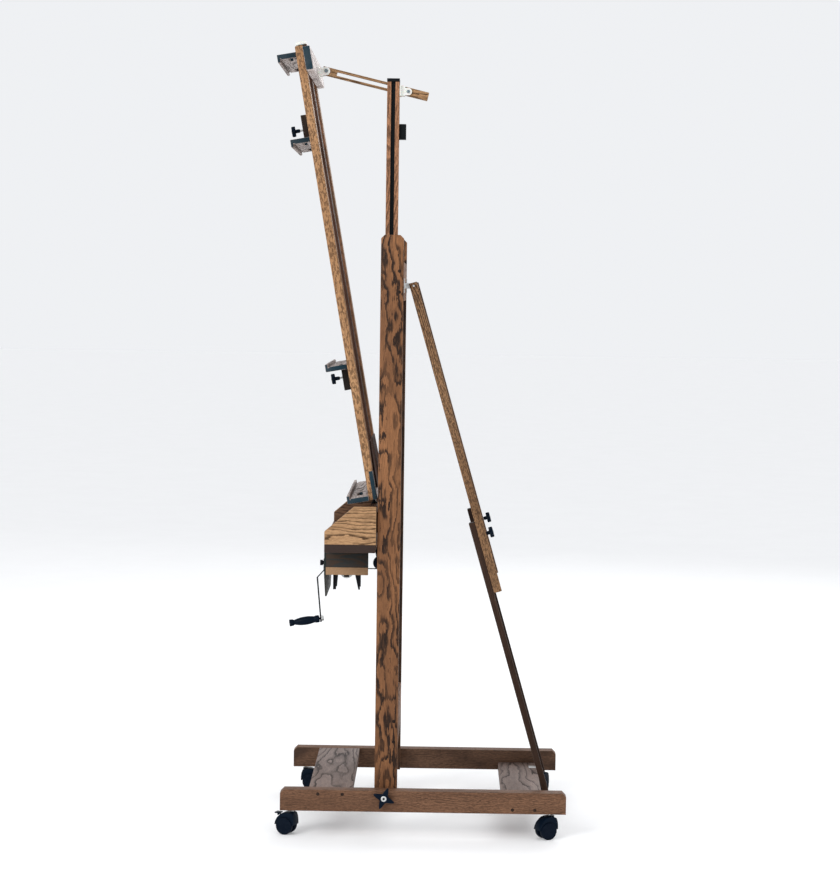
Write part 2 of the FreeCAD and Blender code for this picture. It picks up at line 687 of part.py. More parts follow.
def make_grip():
    """A contoured plastic grip that turns on the spindle."""
    full = s.grip_radius
    length = s.grip_length
    profile = [(3.55, 4), (0.70 * full, 4), (0.86 * full, 7), (0.86 * full, 16), (0.75 * full, 21),
               (0.96 * full, 34), (full, 46), (0.94 * full, 62), (0.72 * full, 76), (0.58 * full, 83),
               (0.80 * full, 87), (0.82 * full, length), (3.55, length)]
    keep(grouped("crank_grip", [turned("grip_body", profile, (0, 0, 0), frame=grip_frame())]))


# ------------------------------------------------------------------------------------------------- mast

def make_mast():
    """Two rails with a track groove down each outer side, a strip that joins them and a packing block."""
    height = "mast_top - mast_bottom"
    middle = s.mast_front + s.mast_depth / 2
    outer = s.mast_slot_half + s.mast_rail_thickness
    pieces = []
    tracks = []
    for side, sign in sides():
        start = s.mast_slot_half if sign > 0 else -outer
        rail = box("rail_" + side, ("mast_rail_thickness", "mast_depth", height),
                   (start, s.mast_front, s.mast_bottom))
        groove_start = outer - s.mast_track_depth if sign > 0 else -outer
        groove = box("rail_groove_" + side, ("mast_track_depth", "mast_track_width", height),
                     (groove_start, middle - s.mast_track_width / 2, s.mast_bottom))
        pieces.append(less("mast_rail_" + side, rail, [groove]))
        liner = box("liner_" + side, ("mast_track_depth", "mast_track_width", height),
                    (groove_start, middle - s.mast_track_width / 2, s.mast_bottom))
        hollow_start = groove_start + (s.track_wall if sign > 0 else -1)
        hollow = box("liner_hollow_" + side, ("mast_track_depth - track_wall + 1",
                     "mast_track_width - 2 * track_wall", "mast_top - mast_bottom + 4"),
                     (hollow_start, middle - s.mast_track_width / 2 + s.track_wall, s.mast_bottom - 2))
        tracks.append(less("mast_liner_" + side, liner, [hollow]))
        cap_sizes = (s.mast_rail_thickness + 1, s.mast_depth + 1, "mast_cap_height")
        tracks.append(box("mast_cap_" + side, cap_sizes, (start - 0.5, s.mast_front - 0.5, s.mast_top)))
    strip_sizes = ("2 * mast_slot_half", "mast_strip_depth", "mast_strip_top - mast_bottom")
    pieces.append(box("mast_strip", strip_sizes, (-s.mast_slot_half, s.mast_front, s.mast_bottom)))
    pieces.append(box("mast_packing", (2 * outer, s.mast_front - s.tray_back, 110),
                      (-outer, s.tray_back, 870)))
    keep(grouped("mast_rails", pieces))
    mast_rear = s.mast_front + s.mast_depth
    tracks.append(box("mast_stop", (40, 21.4, 46), (-20, mast_rear, 2084)))
    keep(grouped("mast_fittings", tracks))


def make_carriage_shoes():
    """Plastic blocks behind the tray that slide on the posts' inner faces."""
    shoes = [box("shoe_" + side, (35, 26, 60), (216.5 if sign > 0 else -251.5, s.tray_back, 900))
             for side, sign in sides()]
    keep(grouped("carriage_shoes", shoes))


def link_guide():
    """Y and Z of the guide bolt on the mast, worked out from the link's pivot, slope and reach."""
    pivot = CANVAS.multVec(Vector(0, s.link_pivot_depth, s.link_pivot_up))
    slope = math.radians(s.link_slope)
    return pivot.y + s.link_guide_reach * math.cos(slope), pivot.z - s.link_guide_reach * math.sin(slope)


def make_link_clevis():
    """A nylon cheek and foot behind each mast rail, with a short clamping bolt through each cheek."""
    back, up = link_guide()
    mast_rear = s.mast_front + s.mast_depth
    cheek_start = s.link_half + 1.0
    pieces = []
    for side, sign in sides():
        start = cheek_start if sign > 0 else -cheek_start - 7
        block = box("guide_block_" + side, (7, 17, 31), (start, mast_rear, up - 13))
        cheek = box("guide_cheek_" + side, (7, back - mast_rear, 22), (start, mast_rear, up - 11))
        ear = rod("guide_ear_" + side, 11, 7, (start, back, up), ALONG_X)
        foot_start = cheek_start if sign > 0 else -cheek_start - 20
        foot = box("guide_foot_" + side, (20, 4, 31), (foot_start, mast_rear, up - 13))
        pieces.append(joined("guide_bracket_" + side, [block, cheek, ear, foot]))
        head_start = sign * (cheek_start + 7)
        turn = ALONG_X if sign > 0 else ALONG_MINUS_X
        pieces.append(rod("guide_bolt_" + side, 5, 5, (head_start, back, up), turn))
    keep(grouped("link_clevis", pieces))


# --------------------------------------------------------------------------------------------- hinges

def hinge_centre():
    """The canvas frame's hinge line in the canvas frame: depth and distance up."""
    return 11.2, -13.7


HINGE_SIDES = (180.0, -180.0)
KNUCKLE_RADIUS = 5.0
KNUCKLE_HALF = 12.0
PIN_RADIUS = 2.5


def make_tray_hinges():
    """The tray half of the canvas frame's hinges: a knuckle on a leaf, on top of the tray's back wall."""
    depth, up = hinge_centre()
    line = CANVAS.multVec(Vector(0, depth, up))
    pieces = []
    for index, middle in enumerate(HINGE_SIDES):
        start = middle - KNUCKLE_HALF
        knuckle = rod(f"tray_knuckle_{index}", KNUCKLE_RADIUS, 2 * KNUCKLE_HALF, (start, line.y, line.z),
                      ALONG_X)
        leaf = box(f"tray_leaf_{index}", (2 * KNUCKLE_HALF, 16, line.z - s.tray_top - 2),
                   (start, line.y - 8, s.tray_top))
        bore = rod(f"tray_knuckle_bore_{index}", PIN_RADIUS + s.running_gap, 40, (start - 8, line.y, line.z),
                   ALONG_X)
        pieces.append(less(f"tray_hinge_{index}", joined(f"tray_half_{index}", [knuckle, leaf]), [bore]))
    keep(grouped("tray_hinges", pieces))


def make_frame_hinges():
    """The canvas frame's half: two knuckles, the pin and a leaf on the bottom board's front face."""
    depth, up = hinge_centre()
    outer = KNUCKLE_HALF + 12
    board_front = s.upright_depth - s.bottom_board_depth
    pieces = []
    for index, middle in enumerate(HINGE_SIDES):
        knuckles = [rod(f"frame_knuckle_{index}_{end}", KNUCKLE_RADIUS, outer - KNUCKLE_HALF - s.free_gap,
                        (start, depth, up), ALONG_X, CANVAS)
                    for end, start in (("a", middle - outer), ("b", middle + KNUCKLE_HALF + s.free_gap))]
        pin = rod(f"frame_pin_{index}", PIN_RADIUS, 2 * outer, (middle - outer, depth, up), ALONG_X, CANVAS)
        leaf = box(f"frame_leaf_{index}", (2 * outer, 2.2, 52 - up), (middle - outer, board_front - 2.2, up),
                   CANVAS)
        relief = box(f"frame_relief_{index}", (2 * (KNUCKLE_HALF + s.free_gap), 12, 14),
                     (middle - KNUCKLE_HALF - s.free_gap, board_front - 8, up - 7), CANVAS)
        cleared = less(f"frame_leaf_cleared_{index}", leaf, [relief])
        pieces.append(joined(f"frame_hinge_{index}", knuckles + [pin, cleared]))
    keep(grouped("frame_hinges", pieces))


# ----------------------------------------------------------------------------------------- canvas frame

def make_uprights():
    """Flat uprights, halved at the bottom of their backs for the bottom board."""
    notch_front = s.upright_depth - s.bottom_board_depth
    outline = [(0, 0), (notch_front, 0), (notch_front, s.bottom_board_height),
               (s.upright_depth, s.bottom_board_height), (s.upright_depth, s.upright_length),
               (2, s.upright_length), (0, s.upright_length - 3)]
    for side, sign in sides():
        middle = sign * (s.upright_outside - s.upright_width / 2)
        keep(plate("upright_" + side, outline, "upright_width", at=(middle, 0, 0), frame=CANVAS))


def make_canvas_mast():
    """The middle bar that the canvas holders slide on, with a track groove down each side."""
    notch_front = s.upright_depth - s.bottom_board_depth
    outline = [(0, 0), (notch_front, 0), (notch_front, s.bottom_board_height),
               (s.upright_depth, s.bottom_board_height), (s.upright_depth, s.canvas_mast_length),
               (0, s.canvas_mast_length)]
    bar = plate("canvas_mast_bar", outline, "2 * canvas_mast_half", frame=CANVAS)
    grooves = []
    for side, sign in sides():
        start = s.canvas_mast_half - s.canvas_track_depth if sign > 0 else -s.canvas_mast_half - 1
        at = (start, (s.upright_depth - s.canvas_track_width) / 2, s.bottom_board_height + 2)
        grooves.append(box("canvas_groove_" + side, ("canvas_track_depth + 1", "canvas_track_width",
                           "canvas_mast_length"), at, CANVAS))
    keep(less("canvas_mast", bar, grooves))


def make_canvas_boards():
    keep(box("top_board", ("2 * top_board_half", "top_board_depth", "top_board_height"),
             (-s.top_board_half, s.upright_depth, s.upright_length - s.top_board_drop - s.top_board_height),
             CANVAS))
    keep(box("bottom_board", ("2 * upright_outside", "bottom_board_depth", "bottom_board_height"),
             (-s.upright_outside, s.upright_depth - s.bottom_board_depth, 0), CANVAS))
    outline = [(-240, 30), (240, 30), (240, 90), (190, 168), (-190, 168), (-240, 90)]
    keep(plate("gusset_plate", outline, 6, at=(0, s.upright_depth + 3, 0), plane="XZ_Plane", frame=CANVAS))


def slot_cutter(name, span, depths, low):
    """A cutter for a round-ended slot through a ledge: X of its ends, depths of its sides."""
    front, rear = depths
    radius = (rear - front) / 2
    height = s.ledge_thickness + 10
    start = span[0] + radius
    end = span[1] - radius
    cutter = [box(name, (end - start, 2 * radius, height), (start, front, low - 5), CANVAS)]
    for which, across in (("a", start), ("b", end)):
        cutter.append(rod(f"{name}_{which}", radius, height, (across, front + radius, low - 5), frame=CANVAS))
    return cutter


def ledge(name, half, depths, low, lip_up, slot_spans, slot_depths):
    """A slotted canvas ledge with a lip along its front edge, as one piece."""
    front, rear = depths
    thick = s.ledge_thickness
    board = box(name + "_board", (2 * half, rear - front, "ledge_thickness"), (-half, front, low), CANVAS)
    lip_low = low + thick - 1 if lip_up else low - s.lip_height
    lip = box(name + "_lip", (2 * half, "lip_depth", s.lip_height + 1), (-half, front, lip_low), CANVAS)
    groove_low = low + thick - s.lip_groove_depth if lip_up else low - 1
    cutters = [box(name + "_groove", (2 * half + 2, "lip_groove_width", "lip_groove_depth + 1"),
                   (-half - 1, front + s.lip_depth, groove_low), CANVAS)]
    for index, span in enumerate(slot_spans):
        cutters += slot_cutter(f"{name}_slot_{index}", span, slot_depths, low)
    return less(name + "_slotted", joined(name + "_solid", [board, lip]), cutters)


def on_both_sides(near, far):
    """The X spans of a slot and of its mirror image."""
    return (near, far), (-far, -near)


def make_fixed_ledges():
    """The bottom ledge carries the canvas, and the top one is the fixed stop above the holders."""
    top = ledge("top_ledge", 212, (-60, 0), 1331, False, on_both_sides(117, 202), (-29, -15))
    bottom = ledge("bottom_ledge", 305, (-64, 0), 0, True, [(112, 230)], (-37, -20))
    keep(grouped("fixed_ledges", [top, bottom]))


def make_holder(name, half, depth, low, lip_up, block_low, block_high, block_depth, knob_up):
    """A ledge on a block that slides down the middle bar, with tongues in its grooves and a knob."""
    gap = s.holder_gap
    slots = on_both_sides(half - 135, half - 25)
    shelf = ledge(name + "_shelf", half, (-depth, -gap), low, lip_up, slots, (-gap - 29, -gap - 15))
    keep(grouped(name + "_ledge", [shelf]))
    body = box(name + "_block_body", ("2 * block_half", block_depth - gap, block_high - block_low),
               (-s.block_half, -block_depth, block_low), CANVAS)
    pieces = [body]
    cheek_low = (block_low + block_high) / 2 - 15
    for side, sign in sides():
        cheek_start = s.canvas_mast_half + gap if sign > 0 else -s.block_half
        width = s.block_half - s.canvas_mast_half - gap
        pieces.append(box(f"{name}_cheek_{side}", (width, 17, 30), (cheek_start, -gap, cheek_low), CANVAS))
        tongue_start = s.canvas_mast_half - 5 if sign > 0 else -s.canvas_mast_half - gap
        middle = s.upright_depth / 2
        pieces.append(box(f"{name}_tongue_{side}", (5 + gap, 6, 30), (tongue_start, middle - 3, cheek_low),
                          CANVAS))
    bore = rod(name + "_knob_bore", 3.05, block_depth + 4, (0, -block_depth - 2, knob_up), ALONG_Y, CANVAS)
    keep(less(name + "_block", joined(name + "_block_solid", pieces), [bore]))
    stem = s.holder_knob_stem
    stemmed_knob(name + "_knob", s.holder_knob_neck, 3, block_depth + stem - 6,
                 (0, -block_depth - stem, knob_up), ALONG_MINUS_Y, CANVAS)


def make_mast_dome():
    """The rounded nylon cap on the middle bar's top."""
    block = box("dome_block", (48, 34, 11), (-24, -8, s.canvas_mast_length), CANVAS)
    doc.recompute()
    rounded = doc.addObject("Part::Fillet", "mast_dome")
    rounded.Base = block
    top = [index for index, edge in enumerate(block.Shape.Edges, start=1) if is_upper(edge)]
    rounded.Edges = [(index, 7.0, 7.0) for index in top]
    keep(rounded)


def is_upper(edge):
    """Whether an edge lies on the top face of the dome's block."""
    lean = CANVAS.inverse()
    return all(lean.multVec(vertex.Point).z > s.canvas_mast_length + 1 for vertex in edge.Vertexes)


def make_tilt_bracket():
    """The nylon clevis behind the top board, with the link's pivot pin."""
    board_rear = s.upright_depth + s.top_board_depth
    cheek = s.link_half + 0.6
    depth = s.link_pivot_depth
    up = s.link_pivot_up
    base = box("clevis_base", (2 * cheek + 18, 5, 34), (-cheek - 9, board_rear, up - 17), CANVAS)
    cheeks = []
    for side, sign in sides():
        start = cheek if sign > 0 else -cheek - 9
        cheeks.append(box("clevis_cheek_" + side, (9, depth - board_rear, 24), (start, board_rear, up - 12),
                          CANVAS))
        cheeks.append(rod("clevis_ear_" + side, 12, 9, (start, depth, up), ALONG_X, CANVAS))
        head_start = cheek + 9 if sign > 0 else -cheek - 12
        cheeks.append(rod("clevis_pin_head_" + side, 5.5, 3, (head_start, depth, up), ALONG_X, CANVAS))
    pin = rod("clevis_pin", "leg_pin_radius", 2 * cheek + 18, (-cheek - 9, depth, up), ALONG_X, CANVAS)
    keep(joined("tilt_bracket", [base, pin] + cheeks))


def make_tilt_link():
    """The slotted bar between the canvas frame's top and the mast."""
    pivot = CANVAS.multVec(Vector(0, s.link_pivot_depth, s.link_pivot_up))
    frame = Placement(pivot, Rotation(X_AXIS, -s.link_slope))
    bar = box("link_bar", ("2 * link_half", "link_rear - link_front", "link_height"),
              (-s.link_half, s.link_front, -s.link_height / 2), frame)
    slot = box("link_slot", (40, "link_slot_end - link_slot_start", "link_slot_height"),
               (-20, s.link_slot_start, -s.link_slot_height / 2), frame)
    bore = rod("link_bore", "leg_pin_radius + running_gap", 40, (-20, 0, 0), ALONG_X, frame)
    keep(less("tilt_link", bar, [slot, bore]))


# ------------------------------------------------------------------------------------------------ build

def make_pivot_knobs():
    outer = s.runner_inside + s.runner_thickness + s.free_gap
    for side, sign in sides():
        turn = ALONG_X if sign > 0 else ALONG_MINUS_X
        socketed_knob("pivot_knob_" + side, s.bolt_radius + s.running_gap, 9,
                      (sign * outer, s.pivot_back, s.pivot_up), turn)


def build():
    fill_sheet()
    make_runners()
    make_base_boards()
    make_base_hardware()
    make_pivot_knobs()
    for corner in CASTER_YAWS:
        make_caster(corner)
    make_brake_lever("front_right")
    make_brake_lever("front_left")
    make_posts()
    make_crossbars()
    make_frame_hardware()
    make_rear_legs()
    make_leg_extensions()
    make_tray()
    make_winch_box()
    make_winch_frame()
    make_winch_drum()
    make_pulley()
    make_lift_cable()
    make_crank()
    make_grip()
    make_mast()
    make_carriage_shoes()
    make_link_clevis()
    make_tray_hinges()
    make_frame_hinges()
    make_uprights()
    make_canvas_mast()
    make_canvas_boards()
    make_fixed_ledges()
    make_holder("upper_holder", 212, 62, 1078, False, 1093, 1174, 28, 1131)
    make_holder("lower_holder", 270, 66, 395, True, 325, 395, 31, 364)
    make_mast_dome()
    make_tilt_bracket()
    make_tilt_link()
    doc.recompute()


def check():
    """Stop if any object failed, or any sub-part has no valid shape."""
    for obj in doc.Objects:
        if "Invalid" in obj.State or "Error" in obj.State:
            raise RuntimeError(f"{obj.Name} failed: {obj.State}")
    for node in nodes:
        if node.Shape.isNull() or not node.Shape.isValid() or not node.Shape.Solids:
            raise RuntimeError(f"{node.Name} has no valid solid")


def export():
    os.makedirs("parts", exist_ok=True)
    for node in nodes:
        node.Shape.exportStep(f"parts/{node.Label}.step")
    whole = FreeCAD.BoundBox()
    for node in nodes:
        whole.add(node.Shape.BoundBox)
    print(len(nodes), "sub-parts; box", whole)


build()
check()
export()
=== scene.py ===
"""The looks of the H-frame studio easel: stained oak boards with eased edges, moulded and plated fittings,
the lift cable and its winch, and a plain studio. Metres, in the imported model's frame: the canvas faces -Y.
"""
import json
import math
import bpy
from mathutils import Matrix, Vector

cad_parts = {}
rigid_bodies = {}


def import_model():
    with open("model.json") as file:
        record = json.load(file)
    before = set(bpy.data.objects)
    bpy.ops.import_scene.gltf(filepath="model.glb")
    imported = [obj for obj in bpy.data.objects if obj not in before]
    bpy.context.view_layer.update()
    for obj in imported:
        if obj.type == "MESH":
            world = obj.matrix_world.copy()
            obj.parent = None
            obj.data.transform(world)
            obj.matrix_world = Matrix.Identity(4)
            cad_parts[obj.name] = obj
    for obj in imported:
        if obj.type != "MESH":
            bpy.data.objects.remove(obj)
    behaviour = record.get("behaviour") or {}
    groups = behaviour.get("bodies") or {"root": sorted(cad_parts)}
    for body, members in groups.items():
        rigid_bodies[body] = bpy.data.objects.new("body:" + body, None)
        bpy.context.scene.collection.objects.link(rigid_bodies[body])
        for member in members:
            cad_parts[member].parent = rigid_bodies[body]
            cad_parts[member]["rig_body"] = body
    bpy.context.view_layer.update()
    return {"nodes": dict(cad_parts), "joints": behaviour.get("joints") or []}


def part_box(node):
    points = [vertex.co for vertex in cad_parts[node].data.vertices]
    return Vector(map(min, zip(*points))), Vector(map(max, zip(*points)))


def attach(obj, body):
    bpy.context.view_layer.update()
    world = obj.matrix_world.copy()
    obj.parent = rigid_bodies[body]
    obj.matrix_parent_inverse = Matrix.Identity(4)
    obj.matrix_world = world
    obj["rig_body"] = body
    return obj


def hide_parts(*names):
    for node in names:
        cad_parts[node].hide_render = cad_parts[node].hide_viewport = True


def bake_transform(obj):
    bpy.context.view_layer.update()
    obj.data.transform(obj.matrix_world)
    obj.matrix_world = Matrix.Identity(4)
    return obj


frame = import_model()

from types import SimpleNamespace

import bmesh
import bpy
from mathutils import Matrix, Vector

JOINTS = {joint["name"]: joint for joint in frame["joints"]}
X_AXIS = Vector((1, 0, 0))
Y_AXIS = Vector((0, 1, 0))
Z_AXIS = Vector((0, 0, 1))


def lean_of(joint, sign):
    """The angle about X by which a sliding joint's direction leans from the vertical."""
    axis = JOINTS[joint]["axis"]
    return math.atan2(-sign * axis[1], sign * axis[2])


CANVAS_LEAN = lean_of("upper_holder_slide", 1)
LEG_LEAN = lean_of("leg_right_length", -1)
LINK_SLOPE = math.radians(-13.28)
PIVOT_KNOB_SPIN = math.radians(-22)
LEANS = {"upright": CANVAS_LEAN, "canvas_mast": CANVAS_LEAN, "top_board": CANVAS_LEAN,
         "bottom_board": CANVAS_LEAN, "gusset_plate": CANVAS_LEAN, "fixed_ledges": CANVAS_LEAN,
         "upper_holder": CANVAS_LEAN, "lower_holder": CANVAS_LEAN, "rear_leg": LEG_LEAN,
         "leg_extension": LEG_LEAN, "tilt_link": LINK_SLOPE}
CANVAS_BASE = Vector((0, -0.1524, 0.9995))


def lean_for(node):
    """How far a node's boards lean about X."""
    return next((lean for start, lean in LEANS.items() if node.startswith(start)), 0.0)


def on_canvas_frame(across, depth, up):
    """A point given by its X, its depth behind the canvas frame's front and its height up that front."""
    return CANVAS_BASE + Matrix.Rotation(CANVAS_LEAN, 3, "X") @ Vector((across, depth, up))


# ------------------------------------------------------------------------------------------ shader trees

class Shader:
    """A material's node tree, built one node at a time."""

    def __init__(self, name):
        self.material = bpy.data.materials.new(name)
        self.material.use_nodes = True
        self.tree = self.material.node_tree
        self.surface = self.tree.nodes["Principled BSDF"]

    def add(self, kind, inputs=None, **settings):
        """A node with its settings, whose inputs are numbers, colours or other nodes' sockets."""
        node = self.tree.nodes.new("ShaderNode" + kind)
        for key, value in settings.items():
            setattr(node, key, value)
        for key, value in (inputs or {}).items():
            self.feed(node.inputs[key], value)
        return node

    def feed(self, socket, value):
        if isinstance(value, bpy.types.NodeSocket):
            self.tree.links.new(value, socket)
        else:
            socket.default_value = value

    def maths(self, operation, first, second=0.5):
        return self.add("Math", {0: first, 1: second}, operation=operation).outputs[0]

    def mix(self, share, first, second):
        node = self.add("Mix", data_type="RGBA")
        self.feed(node.inputs[0], share)
        self.feed(node.inputs[6], first)
        self.feed(node.inputs[7], second)
        return node.outputs[2]

    def stretched(self, vector, scale):
        """The vector times a scale along each axis."""
        return self.add("VectorMath", {0: vector, 1: scale}, operation="MULTIPLY").outputs[0]

    def noise(self, vector, scale, detail=3.0, roughness=0.55):
        inputs = {"Vector": vector, "Scale": scale, "Detail": detail, "Roughness": roughness}
        return self.add("TexNoise", inputs).outputs["Fac"]

    def total(self, *values):
        """The sum of several sockets and numbers."""
        result = values[0]
        for value in values[1:]:
            result = self.maths("ADD", result, value)
        return result

    def product(self, *values):
        result = values[0]
        for value in values[1:]:
            result = self.maths("MULTIPLY", result, value)
        return result

    def face_mark(self, name):
        """A mark that the mesh carries on its faces, 0 or 1."""
        return self.add("Attribute", attribute_name=name).outputs["Fac"]

    def ramp(self, value, stops):
        """A black-to-white ramp through (position, grey) stops."""
        node = self.add("ValToRGB", {"Fac": value})
        elements = node.color_ramp.elements
        while len(elements) < len(stops):
            elements.new(0.5)
        for element, (position, grey) in zip(elements, stops):
            element.position = position
            element.color = (grey, grey, grey, 1)
        return node.outputs["Color"]

    def streaks(self, vector, scale, detail, stops, roughness=0.55):
        """Noise stretched by a scale along each axis, and cut into patches by a ramp."""
        return self.ramp(self.noise(self.stretched(vector, scale), 1.0, detail, roughness), stops)

    def finish(self, colour, roughness, height=None, depth=0.0002, fixed=None):
        """Feed the surface: colour, roughness, a bump of a real depth, and fixed numbers on its sockets."""
        self.feed(self.surface.inputs["Base Color"], colour)
        self.feed(self.surface.inputs["Roughness"], roughness)
        if height is not None:
            bump = self.add("Bump", {"Height": height, "Strength": 1.0, "Distance": depth})
            self.feed(self.surface.inputs["Normal"], bump.outputs["Normal"])
        for key, value in (fixed or {}).items():
            self.surface.inputs[key].default_value = value
        return self.material


def rgb(red, green, blue):
    return (red, green, blue, 1.0)


def linked(name, data):
    """A new object that holds the data, in the scene."""
    thing = bpy.data.objects.new(name, data)
    bpy.context.scene.collection.objects.link(thing)
    return thing


# --------------------------------------------------------------------------------------------- oak boards

def tone(light, mid, dark, end, inner, strength, rings, pith, **extras):
    """A wood's colours (light, mid, grain, end grain, painted shade on faces turned inwards) and its grain:
    how strong it is, rings to the metre and how far behind the board the pith lies. The extras say how far
    the pith lies to one side, how far the rings wave, how jagged they are, the share of a ring that is dark,
    the flecks and the shine. Inward faces take the painted shade. Above the height lit, where there is one,
    they take the light colour as painted light."""
    usual = {"aside": 0.0, "waves": 0.0, "jagged": 1.2, "band": 0.30, "flecks": 0.0, "shine": 0.10,
             "lit": 0.0}
    colours = {"light": rgb(*light), "mid": rgb(*mid), "dark": rgb(*dark), "end": rgb(*end),
               "inner": rgb(*inner)}
    return SimpleNamespace(**colours, strength=strength, rings=rings, pith=pith, **{**usual, **extras})


# Dark teal painted shade for the ledges' and top board's end faces and inward faces.
TEAL_SHADE = (0.008, 0.026, 0.038)
SHADED = (0.030, 0.015, 0.010)
# Near-black painted shade, laid along the grain and in patches on faces turned inwards.
SHADE_BLACK = rgb(0.016, 0.010, 0.008)
TONES = {
    # Inward post faces are painted shade below the lit height of 1.72 m and take the light colour, as painted
    # light, above it.
    "post": tone((0.290, 0.130, 0.056), (0.180, 0.080, 0.036), (0.016, 0.010, 0.008), (0.09, 0.045, 0.025),
                 (0.014, 0.009, 0.007), 1.0, 100, 0.030, waves=0.046, jagged=1.4, lit=1.72),
    "runner": tone((0.225, 0.114, 0.064), (0.165, 0.082, 0.046), (0.028, 0.016, 0.011), (0.13, 0.072, 0.044),
                   (0.105, 0.058, 0.036), 0.62, 300, 0.06, aside=0.11, flecks=0.45),
    "board": tone((0.235, 0.172, 0.148), (0.165, 0.120, 0.103), (0.034, 0.024, 0.021), (0.05, 0.034, 0.027),
                  SHADED, 1.0, 100, 0.075, waves=0.010, jagged=0.45, band=0.14),
    "golden": tone((0.47, 0.280, 0.145), (0.38, 0.215, 0.106), (0.050, 0.025, 0.012), (0.31, 0.190, 0.105),
                   (0.075, 0.032, 0.020), 0.95, 105, 0.05, aside=0.13, jagged=0.7, band=0.20, flecks=0.25),
    "flecked": tone((0.47, 0.262, 0.128), (0.39, 0.208, 0.098), (0.060, 0.030, 0.015), (0.33, 0.19, 0.10),
                    (0.125, 0.049, 0.029), 0.35, 420, 0.16, flecks=0.95),
    "leg": tone((0.37, 0.205, 0.102), (0.25, 0.134, 0.064), (0.026, 0.014, 0.009), (0.10, 0.055, 0.03),
                (0.155, 0.078, 0.040), 0.90, 300, 0.10, flecks=0.85),
    "extension": tone((0.060, 0.034, 0.023), (0.028, 0.015, 0.010), (0.007, 0.004, 0.004),
                      (0.03, 0.017, 0.012), (0.020, 0.011, 0.008), 0.80, 330, 0.10, shine=0.05),
    "mast": tone((0.46, 0.225, 0.118), (0.37, 0.175, 0.090), (0.050, 0.024, 0.014), (0.06, 0.035, 0.025),
                 SHADED, 0.70, 330, 0.10, flecks=0.5),
    "shaded": tone((0.085, 0.040, 0.025), (0.060, 0.028, 0.018), (0.014, 0.008, 0.007), (0.04, 0.02, 0.015),
                   (0.030, 0.016, 0.012), 0.7, 330, 0.10, shine=0.06),
    "dark": tone((0.042, 0.026, 0.019), (0.022, 0.014, 0.011), (0.006, 0.005, 0.004), (0.018, 0.014, 0.012),
                 (0.02, 0.014, 0.012), 0.8, 330, 0.10, shine=0.05),
    # The winch box sides' dark teal stands for the shade they sit in below the tray: painted shade.
    "teal": tone((0.030, 0.034, 0.034), (0.020, 0.025, 0.026), (0.055, 0.032, 0.020), (0.018, 0.028, 0.030),
                 (0.02, 0.022, 0.022), 0.7, 260, 0.10, shine=0.05),
    "apron": tone((0.066, 0.064, 0.052), (0.044, 0.044, 0.036), (0.014, 0.014, 0.012), (0.020, 0.026, 0.024),
                  SHADED, 0.7, 300, 0.10, shine=0.08),
    # The tray boards' dark brown and near-black end grain stand for the shade under the tray's end caps:
    # painted shade.
    "tray": tone((0.16, 0.078, 0.045), (0.110, 0.054, 0.032), (0.026, 0.014, 0.010), (0.034, 0.023, 0.020),
                 SHADED, 0.75, 330, 0.10, shine=0.06),
    # The ledges' and top board's pale grey stands for the white sheen of the finish at grazing angles: a
    # painted reflection.
    "ledge": tone((0.52, 0.45, 0.42), (0.43, 0.365, 0.34), (0.050, 0.036, 0.030), TEAL_SHADE, TEAL_SHADE, 0.90,
                  240, 0.07, waves=0.008, shine=0.08),
    "pale": tone((0.70, 0.62, 0.59), (0.60, 0.53, 0.505), (0.13, 0.10, 0.09), TEAL_SHADE, TEAL_SHADE, 0.70,
                 240, 0.07, waves=0.008, shine=0.10),
}
WOOD = {
    "post_": "post", "crossbars": "post", "runner_": "runner", "front_board": "board", "rear_board": "board",
    "rear_leg": "leg", "leg_extension": "extension", "tray_ends": "golden", "tray_boards": "tray",
    "winch_box_sides": "teal", "winch_box_bottom": "golden", "winch_front_panel": "apron",
    "mast_rails": "mast", "upright_": "flecked", "canvas_mast": "shaded", "top_board": "pale",
    "bottom_board": "ledge", "gusset_plate": "shaded", "fixed_ledges": "ledge", "tilt_link": "golden",
    "upper_holder_ledge": "ledge", "upper_holder_block": "dark", "lower_holder_ledge": "ledge",
    "lower_holder_block": "dark",
}
ROUNDER_EDGES = ("upper_holder_ledge", "lower_holder_ledge", "leg_extension")
ROUNDER_EASE = 0.0026
BOARD_EASE = 0.0014
RAMP_PER_METRE = 0.4  # a ramp runs from 0 to 1, so heights up to 2.5 m fit on it


def board_axes(points, lean):
    """A board's centre and its own axes, as the rows thickness, width and length."""
    turn = Matrix.Rotation(-lean, 3, "X")
    local = [turn @ point for point in points]
    low = Vector([min(point[i] for point in local) for i in range(3)])
    high = Vector([max(point[i] for point in local) for i in range(3)])
    size = high - low
    order = sorted(range(3), key=lambda i: size[i])
    rows = Matrix([turn[i] for i in order])
    if rows.determinant() < 0:
        rows[0] = -rows[0]
    centre = turn.transposed() @ ((low + high) / 2)
    return centre, rows, Vector([size[i] for i in order])


def ring_radius(shader, board, shifted, tone, seed):
    """The wandering distance from the pith, which lies behind the board and a little tilted to it."""
    slow = shader.noise(shader.stretched(shifted, (5, 5, 1.0)), 1.6, 2.0)
    wander = shader.noise(shader.stretched(shifted, (9, 9, 2.2)), 2.6, 3.0)
    parts = shader.add("SeparateXYZ", {0: board})
    tilt = 0.030 if seed % 2 else -0.036
    waves = shader.noise(shader.stretched(shifted, (14, 14, 7)), 1.0, 2.0)
    depth = shader.total(parts.outputs[0], tone.pith + 0.012 * math.sin(seed),
                         shader.product(parts.outputs[2], tilt), shader.product(slow, 0.075),
                         shader.product(waves, tone.waves))
    off_centre = tone.aside + 0.013 * math.sin(2.3 * seed) - 0.02
    across = shader.total(parts.outputs[1], off_centre, shader.product(wander, 0.045))
    squares = shader.total(shader.product(depth, depth), shader.product(across, across))
    return shader.maths("POWER", squares, 0.5)


